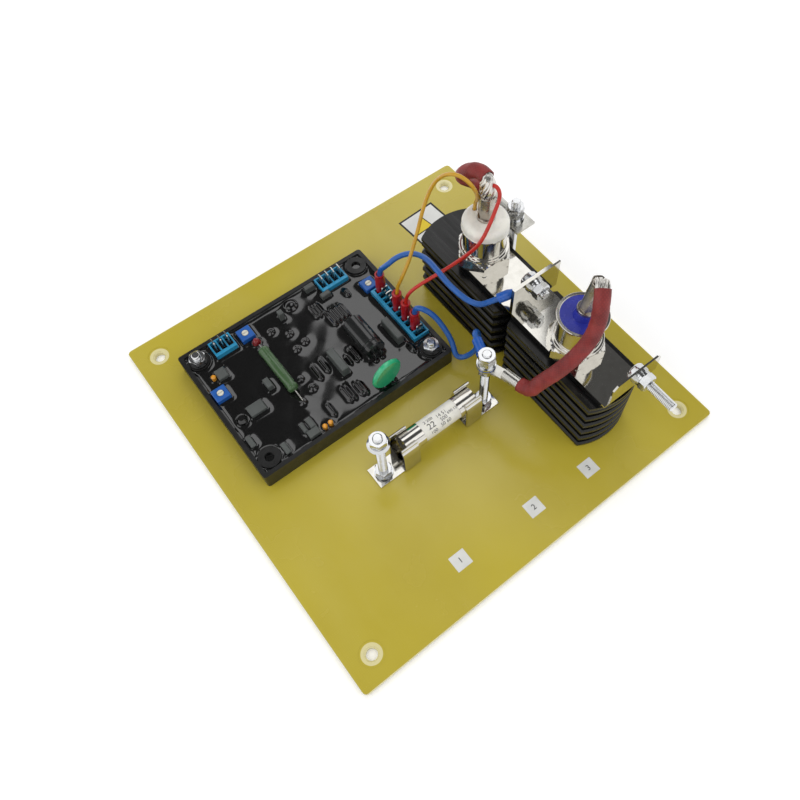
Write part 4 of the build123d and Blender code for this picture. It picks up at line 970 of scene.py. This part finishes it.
THYRISTOR = [(75.8, 22.7, 128.8), (76.2, 28.0, 128.9), (74.8, 33.9, 126.6), (73.6, 39.6, 120.8),
             (74.8, 44.0, 113.8), (78.4, 46.8, 107.4), (83.2, 48.2, 101.4), (88.6, 49.0, 95.6),
             (93.94, 47.59, 89.5), (96.8, 43.4, 84.7)]
DIODE = [(73.4, -74.15, 129.22), (71.02, -76.77, 127.35), (68.9, -79.2, 123.5), (67.3, -81.1, 117.6),
         (65.4, -82.6, 111.3), (62.3, -83.5, 104.6), (58.1, -83.3, 97.6), (53.3, -82.2, 90.2),
         (47.8, -80.1, 82.0), (42.8, -77.3, 74.3), (38.2, -74.0, 66.6), (33.5, -71.7, 58.2),
         (32.6, -64.3, 57.3)]


def spline_curve(name, route, radius=0.0):
    curve = bpy.data.curves.new(name, "CURVE")
    curve.dimensions = "3D"
    spline = curve.splines.new("NURBS")
    spline.points.add(len(route) - 1)
    for point, (x, y, z) in zip(spline.points, route):
        point.co = (x * MM, y * MM, z * MM, 1.0)
    spline.order_u = 3
    spline.use_endpoint_u = True
    spline.resolution_u = 12
    curve.bevel_depth = radius
    curve.bevel_resolution = 7
    curve.use_fill_caps = True
    return curve


def sampled(name, route):
    """Points along the spline of a route."""
    temp = bpy.data.objects.new(name, spline_curve(name, route))
    bpy.context.scene.collection.objects.link(temp)
    bpy.context.view_layer.update()
    line = bpy.data.meshes.new_from_object(temp)
    points = [Vector(v.co) for v in line.vertices]
    bpy.data.objects.remove(temp)
    return points


def length_of(points):
    return sum((b - a).length for a, b in zip(points, points[1:]))


def wire(name, route, diameter, slot):
    obj = piece(name + "_lead", spline_curve(name, route, diameter * MM / 2), slot, replaces=(name,))
    line = sampled(name + "_line", route)


def sides_along(tangents):
    """Side vectors that turn as little as a line with these tangents allows."""
    side = tangents[0].orthogonal().normalized()
    sides = []
    for t in tangents:
        side = (side - t * side.dot(t)).normalized()
        sides.append(side.copy())
    return sides


def evenly(points, step):
    """Points at nearly equal steps along a line."""
    total = length_of(points)
    count = max(2, int(round(total / step)))
    even_points = [points[0].copy()]
    k = 0
    run = 0.0
    for i in range(1, count):
        want = total * i / count
        while run + (points[k + 1] - points[k]).length < want:
            run += (points[k + 1] - points[k]).length
            k += 1
        seg = points[k + 1] - points[k]
        even_points.append(points[k] + seg * ((want - run) / seg.length))
    even_points.append(points[-1].copy())
    return even_points


def wrap_uv(mesh, seg, around, stations):
    """UV map in metres, round a tube and along it."""
    layer = mesh.uv_layers.new(name="UVMap")
    for poly in mesh.polygons:
        columns = [vertex % seg for vertex in poly.vertices]
        at_seam = max(columns) - min(columns) > 1
        for loop, vertex in zip(poly.loop_indices, poly.vertices):
            column = vertex % seg
            if at_seam and column == 0:
                column = seg
            layer.data[loop].uv = (column / seg * around, stations[vertex // seg])


def sleeve(name, route, radius, wall, seed):
    """Woven sleeve over a braid: soft wrinkles where it bends, open and turned in at its mouths."""
    seg = 40
    waves = 9
    line = evenly(sampled(name + "_line", route), 0.9 * MM)
    total = length_of(line)
    tangents = tangents_along(line)
    sides = sides_along(tangents)
    rng = np.random.default_rng(seed)
    ripples = [(rng.integers(1, 4), rng.uniform(0, 6.28), rng.uniform(4, 12) * MM, rng.uniform(0, 6.28))
               for _ in range(waves)]

    def wrinkled(angle, run, loose):
        """Radius at an angle and a distance run, with wrinkles where the cloth is loose."""
        ripple = sum(math.sin(folds * angle + phase + run / length * 2 * math.pi + shift)
                     for folds, phase, length, shift in ripples) / waves
        return radius * (1.0 + loose * ripple)

    rows = []
    stations = []
    run = 0.0
    for k, (point, tangent, side) in enumerate(zip(line, tangents, sides)):
        if k:
            run += (point - line[k - 1]).length
        bend = 0.0
        if 2 < k < len(line) - 3:
            bend = (tangents[k + 2] - tangents[k - 2]).length
        calm = min(1.0, min(run, total - run) / (3 * MM))
        loose = calm * (0.045 + 0.10 * min(1.0, bend * 1.4))
        other = tangent.cross(side)
        rows.append([(point + (side * math.cos(t) + other * math.sin(t)) * wrinkled(t, run, loose))[:]
                     for t in angles(seg)])
        stations.append(run)

    def mouth(index, inward):
        """Two rings that turn the cloth in at an end."""
        inner = radius - wall
        side = sides[index]
        tangent = tangents[index]
        return [oval(line[index] + tangent * depth * inward, side, tangent.cross(side), inner, inner, seg)
                for depth in (0.0, 3.0 * MM)]

    rows = [*reversed(mouth(0, 1)), *rows, *mouth(-1, -1)]
    stations = [-4 * MM, -1 * MM, *stations, run + 1 * MM, run + 4 * MM]
    mesh = grid_mesh(name, rows, close=True)
    wrap_uv(mesh, seg, 2 * math.pi * radius, stations)
    obj = piece(name + "_cloth", mesh, "sleeving", replaces=(name,))


wire("wire_blue_1", BLUE_1, 3.7, "wire_blue")
wire("wire_blue_2", BLUE_2, 3.7, "wire_blue")
wire("wire_yellow", YELLOW, 2.4, "wire_yellow")
wire("wire_red", RED, 2.4, "wire_red")
sleeve("thyristor_sleeve", THYRISTOR, radius=4.6 * MM, wall=0.7 * MM, seed=3)
sleeve("diode_sleeve", DIODE, radius=4.6 * MM, wall=0.7 * MM, seed=5)


# Camera at the photograph's angle, with its optical centre as a pixel of the photograph

PHOTO_SIDE = 800
OPTICAL_X, OPTICAL_Y = 450.1, 384.2
FOCAL_PIXELS = 767.3
SENSOR = 36.0
CAMERA_PLACE = (-0.13496, -0.20636, 0.45732)

azimuth = math.radians(-38.86)
elevation = math.radians(61.69)
roll = math.radians(0.41)
back = Vector((math.sin(azimuth) * math.cos(elevation), -math.cos(azimuth) * math.cos(elevation),
               math.sin(elevation)))
right = (-back).cross(Vector((0, 0, 1))).normalized()
up = right.cross(-back).normalized()
right, up = right * math.cos(roll) + up * math.sin(roll), up * math.cos(roll) - right * math.sin(roll)
lens = bpy.data.cameras.new("camera")
camera = bpy.data.objects.new("camera", lens)
bpy.context.scene.collection.objects.link(camera)
camera.matrix_world = Matrix([*zip(right, up, back, CAMERA_PLACE), (0, 0, 0, 1)])
lens.sensor_width = SENSOR
lens.lens = FOCAL_PIXELS / PHOTO_SIDE * SENSOR
lens.shift_x = (PHOTO_SIDE / 2 - OPTICAL_X) / PHOTO_SIDE
lens.shift_y = (OPTICAL_Y - PHOTO_SIDE / 2) / PHOTO_SIDE
lens.clip_start = 0.01
lens.clip_end = 50
bpy.context.scene.camera = camera


# Light, white surroundings, floor and dark ceiling

WHITE = (1, 1, 1, 1)
LIT_POINT = Vector((0.0, 0.0, 0.03))
LIT_WORLD = 0.74
FLOOR_HALF = 3
FLOOR_DROP = 0.5 * MM
CEILING_HALF = 4
CEILING_HEIGHT = 2.4
UPWARDS = (0, 1, 2, 3)
DOWNWARDS = (0, 3, 2, 1)


def area(name, place, size, power):
    """Soft lamp that points at the object."""
    data = bpy.data.lights.new(name, "AREA")
    data.shape = "RECTANGLE"
    data.size = size[0]
    data.size_y = size[1]
    data.energy = power
    obj = bpy.data.objects.new(name, data)
    bpy.context.scene.collection.objects.link(obj)
    obj.location = place
    obj.rotation_mode = "QUATERNION"
    obj.rotation_quaternion = (Vector(place) - LIT_POINT).to_track_quat("Z", "Y")


area("soft_back", place=(0.60, 0.80, 1.5), size=(0.66, 1.2), power=3.4)
area("soft_left", place=(-0.9, 0.1, 1.1), size=(1.0, 0.8), power=3)
area("soft_front", place=(0.35, -0.9, 1.2), size=(1.0, 0.8), power=3)


def seen_by_eye(tree):
    """1 for rays of the camera, of gloss and through glass, else 0."""
    path = tree.nodes.new("ShaderNodeLightPath")
    result = path.outputs["Is Camera Ray"]
    for kind in ("Is Glossy Ray", "Is Transmission Ray"):
        either = tree.nodes.new("ShaderNodeMath")
        either.operation = "MAXIMUM"
        tree.links.new(result, either.inputs[0])
        tree.links.new(path.outputs[kind], either.inputs[1])
        result = either.outputs["Value"]
    return result


def white_world():
    """World that is seen pure white and lights a little less."""
    world = bpy.data.worlds.new("studio")
    bpy.context.scene.world = world
    world.use_nodes = True
    tree = world.node_tree
    tree.nodes.clear()
    mix = tree.nodes.new("ShaderNodeMixShader")
    for index, strength in ((1, LIT_WORLD), (2, 1.0)):
        background = tree.nodes.new("ShaderNodeBackground")
        background.inputs["Color"].default_value = WHITE
        background.inputs["Strength"].default_value = strength
        tree.links.new(background.outputs[0], mix.inputs[index])
    tree.links.new(seen_by_eye(tree), mix.inputs["Fac"])
    output = tree.nodes.new("ShaderNodeOutputWorld")
    tree.links.new(mix.outputs[0], output.inputs["Surface"])


def backdrop(name, half, height, face, look):
    """Flat square of the stage, whose face looks up or down."""
    mesh = bpy.data.meshes.new(name)
    corners = [(-half, -half, 0), (half, -half, 0), (half, half, 0), (-half, half, 0)]
    mesh.from_pydata(corners, [], [face])
    mesh.materials.append(look.material)
    obj = bpy.data.objects.new(name, mesh)
    obj.location.z = height
    bpy.context.scene.collection.objects.link(obj)
    return obj


def floor_look():
    """White floor with a little glow for the eye, more of it farther out."""
    s = Surface("floor_look", (0.95, 0.95, 0.95), 0.9)
    far = s.node("ShaderNodeVectorMath")
    far.operation = "LENGTH"
    s.link(s.coord.outputs["Object"], far.inputs[0])
    glow = s.remap(far.outputs["Value"], low=0.16, high=0.32, start=0.35, stop=2.4)
    s.bsdf.inputs["Emission Color"].default_value = WHITE
    s.link(s.math("MULTIPLY", seen_by_eye(s.tree), glow), s.bsdf.inputs["Emission Strength"])
    return s


def ceiling_look():
    """Nearly black, for the reflections in polished metal and resin."""
    s = Surface("ceiling_look", (0.02, 0.02, 0.02), 1.0)
    s.bsdf.inputs["Emission Color"].default_value = WHITE
    s.bsdf.inputs["Emission Strength"].default_value = 0.06
    return s


white_world()
backdrop("floor", FLOOR_HALF, -FLOOR_DROP, UPWARDS, floor_look())
ceiling = backdrop("ceiling", CEILING_HALF, CEILING_HEIGHT, DOWNWARDS, ceiling_look())
ceiling.visible_camera = False
ceiling.visible_diffuse = False
ceiling.visible_shadow = False

bpy.context.scene.view_settings.view_transform = "Standard"
